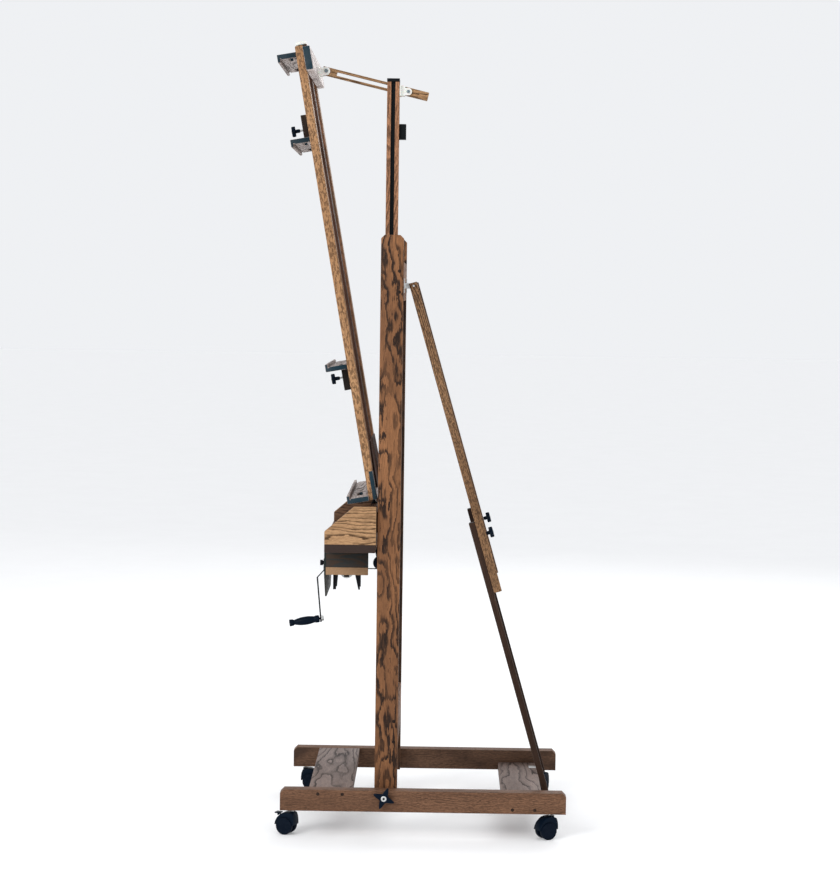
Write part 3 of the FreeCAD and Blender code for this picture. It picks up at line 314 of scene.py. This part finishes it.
def ring_count(shader, board, shifted, tone, seed):
    """How many rings lie between the pith and a point, with jagged and feathered borders."""
    radius = ring_radius(shader, board, shifted, tone, seed)
    jagged = shader.noise(shader.stretched(shifted, (90, 90, 19)), 1.0, 4.0, 0.72)
    feathered = shader.noise(shader.stretched(shifted, (430, 430, 17)), 1.0, 2.0, 0.6)
    return shader.total(shader.product(radius, tone.rings), shader.product(jagged, tone.jagged),
                        shader.product(feathered, 0.6 * tone.jagged))


def inward_painted_shade(shader, place, shifted, tone, grain):
    """Painted shade for faces turned inwards: a darker colour, the light colour as painted light above the
    height lit, and near-black painted shade along the grain and in patches.
    """
    inner = tone.inner
    if tone.lit:
        height = shader.maths("MULTIPLY", shader.add("SeparateXYZ", {0: place}).outputs[2], RAMP_PER_METRE)
        step = RAMP_PER_METRE * tone.lit
        lit = shader.ramp(height, ((step - 0.002, 0.0), (step + 0.002, 1.0)))
        inner = shader.mix(lit, tone.inner, tone.light)
    # Near-black painted shade along the grain and in patches.
    inner = shader.mix(shader.product(grain, 0.9), inner, SHADE_BLACK)
    shade_patch = shader.streaks(shifted, (7, 7, 4.5), 4.0, ((0.52, 0.0), (0.64, 1.0)))
    return shader.mix(shader.product(shade_patch, 0.92), inner, SHADE_BLACK)


def oak(name, tone, centre, rows, seed):
    """Flat-sawn stained oak: jagged dark growth rings cut by the board's faces, fine lines and open pores."""
    shader = Shader(name)
    place = shader.add("TexCoord").outputs["Object"]
    mapping = {"Vector": place, "Location": -(rows @ centre), "Rotation": rows.to_euler()}
    board = shader.add("Mapping", mapping).outputs[0]
    apart = {0: board, 1: (3.1 * seed, 1.7 * seed, 5.3 * seed)}
    shifted = shader.add("VectorMath", apart, operation="ADD").outputs[0]

    rings = ring_count(shader, board, shifted, tone, seed)
    band = tone.band
    early = shader.ramp(shader.maths("FRACT", rings),
                        ((0.0, 0.3), (0.05, 1.0), (band, 0.90), (band + 0.16, 0.25), (band + 0.36, 0.0)))
    fine = shader.ramp(shader.maths("FRACT", shader.product(rings, 3.0)),
                       ((0.0, 0.4), (0.15, 1.0), (0.45, 0.25), (0.8, 0.0)))
    pores = shader.streaks(shifted, (900, 900, 30), 2.0, ((0.50, 0.0), (0.64, 1.0)), 0.6)
    blotch = shader.streaks(shifted, (16, 16, 3), 4.0, ((0.36, 0.0), (0.64, 1.0)))
    fade = shader.streaks(shifted, (24, 24, 5), 3.0, ((0.32, 0.4), (0.52, 1.0)))
    flecks = shader.streaks(shifted, (270, 270, 105), 2.0, ((0.47, 0.0), (0.56, 1.0)), 0.6)

    grain = shader.product(early, tone.strength, fade)
    wood = shader.mix(blotch, tone.light, tone.mid)
    wood = shader.mix(shader.product(fine, 0.22 * tone.strength), wood, tone.dark)
    wood = shader.mix(grain, wood, tone.dark)
    wood = shader.mix(shader.product(pores, 0.40), wood, tone.dark)
    wood = shader.mix(shader.product(shader.face_mark("worn_edge"), 0.25), wood, tone.light)
    specks = shader.product(blotch, 0.06)
    wood = shader.mix(shader.maths("SUBTRACT", shader.face_mark("end_grain"), specks), wood, tone.end)
    inner = inward_painted_shade(shader, place, shifted, tone, grain)
    # Faces turned towards the centre plane take the painted shade.
    wood = shader.mix(shader.product(shader.face_mark("inward"), 0.80), wood, inner)
    wood = shader.mix(shader.product(flecks, 0.72 * tone.flecks), wood, tone.dark)

    rough = shader.total(shader.product(grain, 0.14), shader.product(blotch, 0.07), 0.46)
    low = shader.total(shader.product(pores, 0.6), shader.product(grain, 0.4))
    height = shader.maths("SUBTRACT", 1.0, low)
    return shader.finish(wood, rough, height, 0.00025, {"Specular IOR Level": tone.shine})


# ------------------------------------------------------------------------------------------ other finishes

def black_plastic(name="black_plastic", base=(0.0015, 0.0045, 0.010), rough=0.34):
    """Moulded plastic with a fine pebbled skin, a little lighter in patches."""
    shader = Shader(name)
    place = shader.add("TexCoord").outputs["Object"]
    pebble = shader.noise(place, 2600.0, 2.0)
    patches = shader.noise(place, 60.0, 3.0)
    colour = shader.mix(patches, rgb(*base), rgb(*(1.7 * c for c in base)))
    roughness = shader.maths("ADD", shader.maths("MULTIPLY", patches, 0.22), rough - 0.08)
    return shader.finish(colour, roughness, pebble, 0.00004, {"Specular IOR Level": 0.05})


def rubber():
    """Soft tyre compound, duller than the hub and greyed where it rolls."""
    shader = Shader("tyre_rubber")
    place = shader.add("TexCoord").outputs["Object"]
    dust = shader.ramp(shader.noise(place, 90.0, 4.0), ((0.42, 0.0), (0.72, 1.0)))
    dusty = shader.maths("MULTIPLY", dust, 0.4)
    colour = shader.mix(dusty, rgb(0.0015, 0.0045, 0.011), rgb(0.010, 0.015, 0.024))
    rough = shader.maths("ADD", shader.maths("MULTIPLY", dust, 0.2), 0.48)
    return shader.finish(colour, rough, shader.noise(place, 1500.0), 0.00006, {"Specular IOR Level": 0.05})


def plated(name, tint, rough=0.3, metal=0.92):
    """Zinc-plated or bright steel, mottled, with fine drawn lines."""
    shader = Shader(name)
    place = shader.add("TexCoord").outputs["Object"]
    mottle = shader.noise(place, 240.0, 4.0)
    lines = shader.noise(shader.stretched(place, (3000, 3000, 120)), 1.0, 2.0)
    colour = shader.mix(mottle, rgb(*tint), rgb(*(0.62 * c for c in tint)))
    roughness = shader.maths("ADD", shader.maths("MULTIPLY", mottle, 0.2), rough - 0.06)
    return shader.finish(colour, roughness, lines, 0.00002, {"Metallic": metal})


def nylon():
    """White moulded nylon: slightly waxy, a little yellowed in patches."""
    shader = Shader("white_nylon")
    place = shader.add("TexCoord").outputs["Object"]
    patches = shader.noise(place, 110.0, 3.0)
    colour = shader.mix(patches, rgb(0.80, 0.80, 0.77), rgb(0.68, 0.67, 0.61))
    rough = shader.maths("ADD", shader.maths("MULTIPLY", patches, 0.15), 0.36)
    return shader.finish(colour, rough, shader.noise(place, 1800.0), 0.00003,
                         {"Subsurface Weight": 0.08, "Subsurface Scale": 0.004})


BLACK = black_plastic()
SHOE_BLACK = black_plastic("track_plastic", (0.005, 0.006, 0.007), 0.5)
LINER_BLACK = black_plastic("liner_plastic", (0.002, 0.002, 0.002), 0.7)
TYRE = rubber()
ZINC = plated("zinc_plate", (0.66, 0.67, 0.66), metal=0.55)
DARK_STEEL = plated("blackened_steel", (0.014, 0.015, 0.018), 0.42)
BOLT_STEEL = plated("bolt_steel", (0.20, 0.25, 0.27), metal=0.6)
CABLE_STEEL = plated("cable_steel", (0.060, 0.066, 0.070), 0.40)
NYLON = nylon()


# --------------------------------------------------------------------------------------------- mesh pieces

WELD = 2e-6
CURVED_ANGLE = math.radians(1)
SHARP_ANGLE = math.radians(30)
BOLT_SPAN = 0.012


def add_piece(name, mesh, body, material, replaces=()):
    """Link a finished mesh as a piece that rides on a body."""
    piece = linked(name, mesh)
    mesh.materials.clear()
    mesh.materials.append(material)
    mesh.set_sharp_from_angle(angle=math.radians(32))
    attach(piece, body)
    if replaces:
        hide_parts(*replaces)
    return piece


def to_mesh(name, shape):
    mesh = bpy.data.meshes.new(name)
    shape.to_mesh(mesh)
    shape.free()
    return mesh


def islands(shape):
    """The sets of faces that hang together."""
    left = set(shape.faces)
    groups = []
    while left:
        group = set()
        waiting = [left.pop()]
        while waiting:
            face = waiting.pop()
            group.add(face)
            for edge in face.edges:
                for other in edge.link_faces:
                    if other in left:
                        left.discard(other)
                        waiting.append(other)
        groups.append(group)
    return groups


def copied(faces):
    """A shape of its own made from some faces, with the flat faces' triangles merged."""
    shape = bmesh.new()
    made = {}
    for face in faces:
        corners = []
        for vertex in face.verts:
            if vertex not in made:
                made[vertex] = shape.verts.new(vertex.co)
            corners.append(made[vertex])
        shape.faces.new(corners)
    bmesh.ops.dissolve_limit(shape, angle_limit=math.radians(0.6), verts=shape.verts, edges=shape.edges)
    return shape


def clean_shapes(node):
    """A CAD node's separate solids, welded, from the lowest up."""
    whole = bmesh.new()
    whole.from_mesh(frame["nodes"][node].data)
    bmesh.ops.remove_doubles(whole, verts=whole.verts, dist=WELD)
    shapes = [copied(group) for group in islands(whole)]
    whole.free()
    shapes.sort(key=middle_of)
    return shapes


def middle_of(shape):
    """The mean of a shape's corners as height, X and Y, to the millimetre."""
    count = len(shape.verts)
    return tuple(round(sum(vertex.co[axis] for vertex in shape.verts) / count, 3) for axis in (2, 0, 1))


def ease_edges(shape, width):
    """Round every sharp edge and mark the new faces as worn. Flat faces stay flat; curved ones are smooth."""
    worn = shape.faces.layers.float.new("worn_edge")
    for edge in shape.edges:
        if len(edge.link_faces) == 2 and CURVED_ANGLE < edge.calc_face_angle(0) <= SHARP_ANGLE:
            for face in edge.link_faces:
                face.smooth = True
    sharp = [edge for edge in shape.edges
             if len(edge.link_faces) == 2 and edge.calc_face_angle(0) > SHARP_ANGLE]
    made = bmesh.ops.bevel(shape, geom=sharp, offset=width, offset_type="OFFSET", segments=2,
                           profile=0.5, affect="EDGES", clamp_overlap=True)
    for face in made["faces"]:
        face[worn] = 1.0
        face.smooth = True


def mark_faces(shape, length_axis, centre):
    """Mark the end grain, and the faces that look towards the easel's centre plane, which take painted shade.
    """
    ends = shape.faces.layers.float.new("end_grain")
    inward = shape.faces.layers.float.new("inward")
    shape.normal_update()
    for face in shape.faces:
        face[ends] = 1.0 if abs(face.normal.dot(length_axis)) > 0.8 else 0.0
        face[inward] = 1.0 if abs(centre.x) > 0.1 and face.normal.x * centre.x < -0.8 * abs(centre.x) else 0.0


def wooden(node, tone_name, ease, seed):
    """Each board of a CAD node, with eased edges and a grain of its own."""
    for index, shape in enumerate(clean_shapes(node)):
        points = [vertex.co.copy() for vertex in shape.verts]
        centre, rows, size = board_axes(points, lean_for(node))
        ease_edges(shape, min(ease, 0.18 * size[0]))
        mark_faces(shape, rows[2], centre)
        name = f"{node}_oak_{index}"
        material = oak(name, TONES[tone_name], centre, rows, seed + 7 * index)
        body = frame["nodes"][node]["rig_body"]
        add_piece(name, to_mesh(name, shape), body, material, [node])


def fitting(node, material, ease=0.0006):
    """A CAD node's own shapes with their edges eased. Its bolt heads are steel, whatever the rest is."""
    for index, shape in enumerate(clean_shapes(node)):
        small = longest_side(shape) < BOLT_SPAN
        ease_edges(shape, ease)
        name = f"{node}_part_{index}"
        body = frame["nodes"][node]["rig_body"]
        add_piece(name, to_mesh(name, shape), body, BOLT_STEEL if small else material, [node])


def longest_side(shape):
    """The largest of a shape's sizes along X, Y and Z."""
    places = [[vertex.co[axis] for vertex in shape.verts] for axis in range(3)]
    return max(max(values) - min(values) for values in places)


def standing_at(point, axis):
    """A frame whose Z runs along an axis from a point."""
    return Matrix.Translation(Vector(point)) @ Vector(axis).to_track_quat("Z", "Y").to_matrix().to_4x4()


def skin(rings):
    """Quads between rings of points, with the end rings filled."""
    shape = bmesh.new()
    rows = [[shape.verts.new(point) for point in ring] for ring in rings]
    count = len(rows[0])
    for lower, upper in zip(rows, rows[1:]):
        for i in range(count):
            j = (i + 1) % count
            shape.faces.new((lower[i], lower[j], upper[j], upper[i])).smooth = True
    shape.faces.new(list(reversed(rows[0])))
    shape.faces.new(rows[-1])
    bmesh.ops.recalc_face_normals(shape, faces=shape.faces)
    return shape


def lathed(name, profile, at, body, material, segments=48, replaces=()):
    """A turned piece: (radius, height) pairs in a frame, all off the axis."""
    turns = [2 * math.pi * k / segments for k in range(segments)]
    rings = [[at @ Vector((radius * math.cos(turn), radius * math.sin(turn), height)) for turn in turns]
             for radius, height in profile]
    return add_piece(name, to_mesh(name, skin(rings)), body, material, replaces)


def between(a, b, c, d, u):
    """A number on the Catmull-Rom curve from b to c, a share u of the way along."""
    slope = (c - a) * u
    square = (2 * a - 5 * b + 4 * c - d) * u * u
    cube = (3 * b - a - 3 * c + d) * u ** 3
    return 0.5 * (2 * b + slope + square + cube)


def smooth_profile(points, steps=6):
    """A profile through the given points, rounded with a Catmull-Rom curve."""
    padded = [points[0], *points, points[-1]]
    out = []
    for before, start, end, after in zip(padded, padded[1:], padded[2:], padded[3:]):
        for k in range(steps):
            share = k / steps
            out.append(tuple(between(*four, share) for four in zip(before, start, end, after)))
    out.append(points[-1])
    return out


# ------------------------------------------------------------------------------------------------- pieces

def boards():
    for seed, node in enumerate(sorted(frame["nodes"])):
        tone_name = next((name for start, name in WOOD.items() if node.startswith(start)), None)
        if tone_name:
            ease = ROUNDER_EASE if node.startswith(ROUNDER_EDGES) else BOARD_EASE
            wooden(node, tone_name, ease, 1 + seed)


def metal_and_plastic():
    for node in ("base_hardware", "frame_hardware"):
        fitting(node, ZINC)
    for node in ("frame_hinges", "tray_hinges", "winch_frame"):
        fitting(node, DARK_STEEL)
    fitting("carriage_shoes", SHOE_BLACK)
    fitting("mast_fittings", SHOE_BLACK, 0.0003)
    for node in ("link_clevis", "tilt_bracket"):
        fitting(node, NYLON, 0.0012)
    fitting("mast_dome", NYLON, 0.0004)
    fitting("winch_drum", ZINC, 0.0004)
    fitting("cable_pulley", BLACK, 0.0004)
    fitting("crank", DARK_STEEL, 0.0003)
    for node in sorted(frame["nodes"]):
        if node.startswith("caster_fork"):
            fitting(node, BLACK, 0.0016)
        if node.startswith("brake_lever"):
            fitting(node, BLACK, 0.0008)


KNOB_POINTS = 96
KNOB_STATIONS = ((0.0, 0.90), (0.0006, 0.96), (0.0020, 1.0), (0.0096, 1.0), (0.0112, 0.95), (0.0120, 0.84))


def star_ring(at, reach, spin, share, height):
    """A four-armed outline round a knob's axis, at a height and at a share of the knob's full reach."""
    hub = 0.42 * reach
    ring = []
    for k in range(KNOB_POINTS):
        turn = 2 * math.pi * k / KNOB_POINTS
        off_arm = abs((turn - spin + math.pi / 4) % (math.pi / 2) - math.pi / 4)
        arm = min(1.0, 1.06 - off_arm / (math.pi / 4))
        radius = (hub + (reach - hub) * arm ** 2.4) * share
        ring.append(at @ Vector((radius * math.cos(turn), radius * math.sin(turn), height)))
    return ring


def star_knob(node, joint, reach, neck_length=0.010, spin=0.0):
    """A moulded knob with four tapering arms, a neck and a plated nut in its centre."""
    at = standing_at(JOINTS[joint]["pos_m"], JOINTS[joint]["axis"])
    rings = [star_ring(at, reach, spin, share, neck_length + height) for height, share in KNOB_STATIONS]
    body = frame["nodes"][node]["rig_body"]
    add_piece(node + "_head", to_mesh(node, skin(rings)), body, BLACK, [node])
    neck = 0.36 * reach
    profile = ((neck * 0.8, 0.0002), (neck * 0.92, 0.0015), (neck, 0.004), (neck, neck_length - 0.0015),
               (neck * 1.1, neck_length + 0.0005))
    lathed(node + "_neck", profile, at, body, BLACK)
    nut = 0.25 * reach
    face = neck_length + 0.0130
    profile = ((nut, face - 0.003), (nut, face - 0.0006), (nut * 0.9, face - 0.0002),
               (0.0001, face - 0.0002))
    lathed(node + "_nut", profile, at, body, ZINC, 24)
    profile = ((nut * 0.42, face - 0.003), (nut * 0.42, face), (0.0001, face))
    lathed(node + "_bolt_end", profile, at, body, DARK_STEEL, 24)


def knobs():
    for side in ("right", "left"):
        star_knob(f"pivot_knob_{side}", f"pivot_knob_{side}_turn", 0.033, spin=PIVOT_KNOB_SPIN)
        star_knob(f"leg_knob_{side}", f"leg_knob_{side}_turn", 0.016)
    for holder in ("upper", "lower"):
        star_knob(f"{holder}_holder_knob", f"{holder}_knob_turn", 0.016, neck_length=0.014)
        holder_knob_stem(holder)


def holder_knob_stem(holder):
    """The plated stem between a holder's block and its knob."""
    joint = JOINTS[f"{holder}_knob_turn"]
    at = standing_at(joint["pos_m"], joint["axis"])
    knob = f"{holder}_holder_knob"
    profile = ((0.0029, -0.026), (0.0030, -0.025), (0.0030, 0.0004))
    lathed(knob + "_stem", profile, at, frame["nodes"][knob]["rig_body"], ZINC, 24)


TYRE_PROFILE = ((0.0190, 0.0075), (0.0235, 0.0075), (0.0254, 0.0088), (0.0260, 0.0110), (0.0260, 0.0180),
                (0.0254, 0.0202), (0.0235, 0.0215), (0.0205, 0.0215))
HUB_PROFILE = ((0.0205, 0.0080), (0.0205, 0.0212), (0.0190, 0.0208), (0.0178, 0.0192), (0.0100, 0.0188),
               (0.0078, 0.0204), (0.0040, 0.0212), (0.0002, 0.0214))


def caster_wheels():
    """Twin wheels with rounded tyres, a raised rim and a dished hub on the outside."""
    for corner in ("front_right", "front_left", "rear_right", "rear_left"):
        node = "caster_wheels_" + corner
        joint = JOINTS["roll_" + corner]
        body = frame["nodes"][node]["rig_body"]
        for side, sign in (("right", 1), ("left", -1)):
            at = standing_at(joint["pos_m"], sign * Vector(joint["axis"]))
            lathed(f"{node}_tyre_{side}", TYRE_PROFILE, at, body, TYRE, 64, [node])
            lathed(f"{node}_hub_{side}", HUB_PROFILE, at, body, BLACK, 64)


GRIP_PROFILE = ((0.0088, 0.0042), (0.0106, 0.0052), (0.0113, 0.0080), (0.0113, 0.0150), (0.0100, 0.0205),
                (0.0112, 0.0270), (0.0126, 0.0360), (0.0130, 0.0460), (0.0124, 0.0610), (0.0095, 0.0760),
                (0.0077, 0.0825), (0.0102, 0.0875), (0.0106, 0.0965), (0.0100, 0.0979), (0.0034, 0.0979))


def crank_grip():
    """The contoured grip that spins on the crank's spindle."""
    joint = JOINTS["grip_spin"]
    at = standing_at(joint["pos_m"], joint["axis"])
    profile = smooth_profile(GRIP_PROFILE)
    lathed("crank_grip_body", profile, at, "crank_grip", BLACK, 48, ["crank_grip"])


def plated_nuts():
    """The hexagon nut under the crank's grip, and the hexagon heads of the tilt bracket's bolt."""
    joint = JOINTS["grip_spin"]
    at = standing_at(joint["pos_m"], joint["axis"])
    nut = ((0.0086, -0.0094), (0.0092, -0.0088), (0.0092, -0.0026), (0.0086, -0.0020))
    lathed("grip_spindle_nut", nut, at, "crank", ZINC, 6)
    head = ((0.0062, -0.0002), (0.0064, 0.0004), (0.0064, 0.0028), (0.0056, 0.0034), (0.0001, 0.0034))
    for side, sign in (("right", 1), ("left", -1)):
        at = standing_at(on_canvas_frame(sign * 0.0191, 0.071, 1.296), (sign, 0, 0))
        lathed("tilt_bolt_head_" + side, head, at, "canvas_frame", BOLT_STEEL, 6)


TRACK_SECTION = ((0.0319, 0.0081), (0.0242, 0.0081), (0.0242, 0.0159), (0.0319, 0.0159), (0.0319, 0.0154),
                 (0.0254, 0.0154), (0.0254, 0.0086), (0.0319, 0.0086))
TRACK_ENDS = (0.088, 1.3855)


def canvas_mast_tracks():
    """The black channels that line the grooves down the middle bar's sides."""
    for side, sign in (("right", 1), ("left", -1)):
        rings = [[on_canvas_frame(sign * across, depth, up) for across, depth in TRACK_SECTION]
                 for up in TRACK_ENDS]
        shape = skin(rings)
        for face in shape.faces:
            face.smooth = False
        name = "canvas_mast_track_" + side
        add_piece(name, to_mesh(name, shape), "canvas_frame", LINER_BLACK)


CABLE_RADIUS = 0.0016
CABLE_STEP = 0.0015
CABLE_STRANDS = 6


def cable_path(low, high, pulley):
    """The cable's centre line: level from the drum, a quarter turn under the pulley and up to the hook."""
    bend = pulley.z - (low.z + CABLE_RADIUS)
    level_count = int((pulley.y - low.y) / CABLE_STEP)
    rise = high.z - pulley.z
    rise_count = int(rise / CABLE_STEP)
    path = [Vector((0, low.y + CABLE_STEP * k, low.z + CABLE_RADIUS)) for k in range(level_count)]
    for turn in (math.pi / 2 * k / 20 for k in range(21)):
        path.append(Vector((0, pulley.y + bend * math.sin(turn), pulley.z - bend * math.cos(turn))))
    for k in range(1, rise_count + 1):
        path.append(Vector((0, pulley.y + bend, pulley.z + rise * k / rise_count)))
    return path


def cable_rings(path):
    """Outlines of twisted strands, one at each point of the path."""
    rings = []
    for index, point in enumerate(path):
        ahead = path[min(index + 1, len(path) - 1)] - path[max(index - 1, 0)]
        up = ahead.cross(X_AXIS).normalized()
        twist = 0.34 * index
        ring = []
        for turn in (2 * math.pi * k / 18 for k in range(18)):
            radius = CABLE_RADIUS * (0.86 + 0.14 * math.cos(CABLE_STRANDS * turn))
            ring.append(point + radius * (math.cos(turn + twist) * X_AXIS + math.sin(turn + twist) * up))
        rings.append(ring)
    return rings


def lift_cable():
    """The twisted cable from the drum round the pulley to the hook."""
    low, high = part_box("lift_cable")
    pulley = Vector(JOINTS["pulley_turn"]["pos_m"])
    mesh = to_mesh("lift_cable_strand", skin(cable_rings(cable_path(low, high, pulley))))
    piece = linked("lift_cable_strand", mesh)
    mesh.materials.append(CABLE_STEEL)
    mesh.polygons.foreach_set("use_smooth", [True] * len(mesh.polygons))
    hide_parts("lift_cable")
    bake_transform(piece)


PLUG_PROFILE = ((0.0050, 0.0), (0.0050, 0.0041), (0.0047, 0.0044), (0.0001, 0.0044))
PLUG_INSET = 0.0285
BAR_PLUG_INSETS = (0.0265, 0.0885)


def plug_places():
    """The body, outer face, Y and height of each plug on the right side."""
    runner_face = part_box("runner_right")[1].x
    post_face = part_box("post_right")[1].x
    places = []
    for node in ("front_board", "rear_board"):
        low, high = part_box(node)
        for back in (low.y + PLUG_INSET, high.y - PLUG_INSET):
            places.append(("base", runner_face, back, (low.z + high.z) / 2))
    low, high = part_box("crossbars")
    heights = [high.z - inset for inset in BAR_PLUG_INSETS]
    heights += [low.z + inset for inset in reversed(BAR_PLUG_INSETS)]
    for height in heights:
        places.append(("h_frame", post_face, (low.y + high.y) / 2, height))
    return places


def dowel_plugs():
    """Oak plugs over the base's and the crossbars' screws, on both sides."""
    for index, (body, out, back, height) in enumerate(plug_places()):
        for side, sign in (("right", 1), ("left", -1)):
            at = standing_at((sign * (out - 0.004), back, height), (sign, 0, 0))
            name = f"plug_{index}_{side}"
            centre = Vector((sign * out, back, height))
            material = oak(name, TONES["dark"], centre, Matrix.Identity(3), 40 + index)
            lathed(name, PLUG_PROFILE, at, body, material, 24)


boards()
metal_and_plastic()
knobs()
caster_wheels()
crank_grip()
plated_nuts()
canvas_mast_tracks()
lift_cable()
dowel_plugs()


# -------------------------------------------------------------------------------------------------- studio

def studio_floor():
    """A wide pale floor that runs out to a pale horizon on every side."""
    shape = bmesh.new()
    bmesh.ops.create_circle(shape, cap_ends=True, segments=96, radius=60.0)
    mesh = to_mesh("studio_floor", shape)
    floor = linked("studio_floor", mesh)
    shader = Shader("studio_floor")
    place = shader.add("TexCoord").outputs["Object"]
    pale = shader.mix(shader.noise(place, 3.0), rgb(0.86, 0.86, 0.86), rgb(0.82, 0.82, 0.82))
    rough = shader.maths("ADD", shader.noise(place, 8.0), 0.35)
    glow = {"Emission Color": rgb(0.97, 0.98, 1.0), "Emission Strength": 0.13}
    mesh.materials.append(shader.finish(pale, rough, fixed=glow))


def soft_light(name, location, target, size, power):
    """A rectangular lamp at a place, turned to a target."""
    data = bpy.data.lights.new(name, "AREA")
    data.shape = "RECTANGLE"
    data.size, data.size_y = size
    data.energy = power
    light = linked(name, data)
    light.location = location
    light.rotation_euler = (Vector(target) - Vector(location)).to_track_quat("-Z", "Y").to_euler()


def lights():
    """A pale sky, a key light in front on the right, a weak fill and a lamp behind."""
    world = bpy.data.worlds.new("studio")
    bpy.context.scene.world = world
    world.use_nodes = True
    sky = world.node_tree.nodes["Background"].inputs
    sky["Color"].default_value = rgb(0.96, 0.975, 1.0)
    sky["Strength"].default_value = 0.9
    soft_light("key", (4.6, -3.4, 3.4), (0, 0, 1.1), (2.4, 3.0), 172)
    soft_light("fill", (4.8, 3.8, 2.2), (0, 0, 1.1), (2.6, 3.2), 45)
    soft_light("back", (-4.6, 1.6, 4.0), (0, 0, 1.0), (3.0, 3.0), 95)


def camera():
    """The photographer's place: beside the easel at eye height, looking slightly down."""
    data = bpy.data.cameras.new("camera")
    eye = linked("camera", data)
    data.sensor_width = 36.0
    data.lens = 94.77
    data.clip_end = 60.0
    yaw, pitch, roll = (math.radians(angle) for angle in (-0.525, 3.663, -0.785))
    level = Matrix((Y_AXIS, Z_AXIS, X_AXIS))
    tilted = Matrix.Rotation(roll, 3, "Z") @ Matrix.Rotation(pitch, 3, "X")
    view = tilted @ Matrix.Rotation(yaw, 3, "Y") @ level
    eye.matrix_world = Matrix.Translation((7.131, 0.059, 1.621)) @ view.transposed().to_4x4()
    bpy.context.scene.camera = eye


bpy.context.scene.view_settings.view_transform = "Standard"
studio_floor()
lights()
camera()
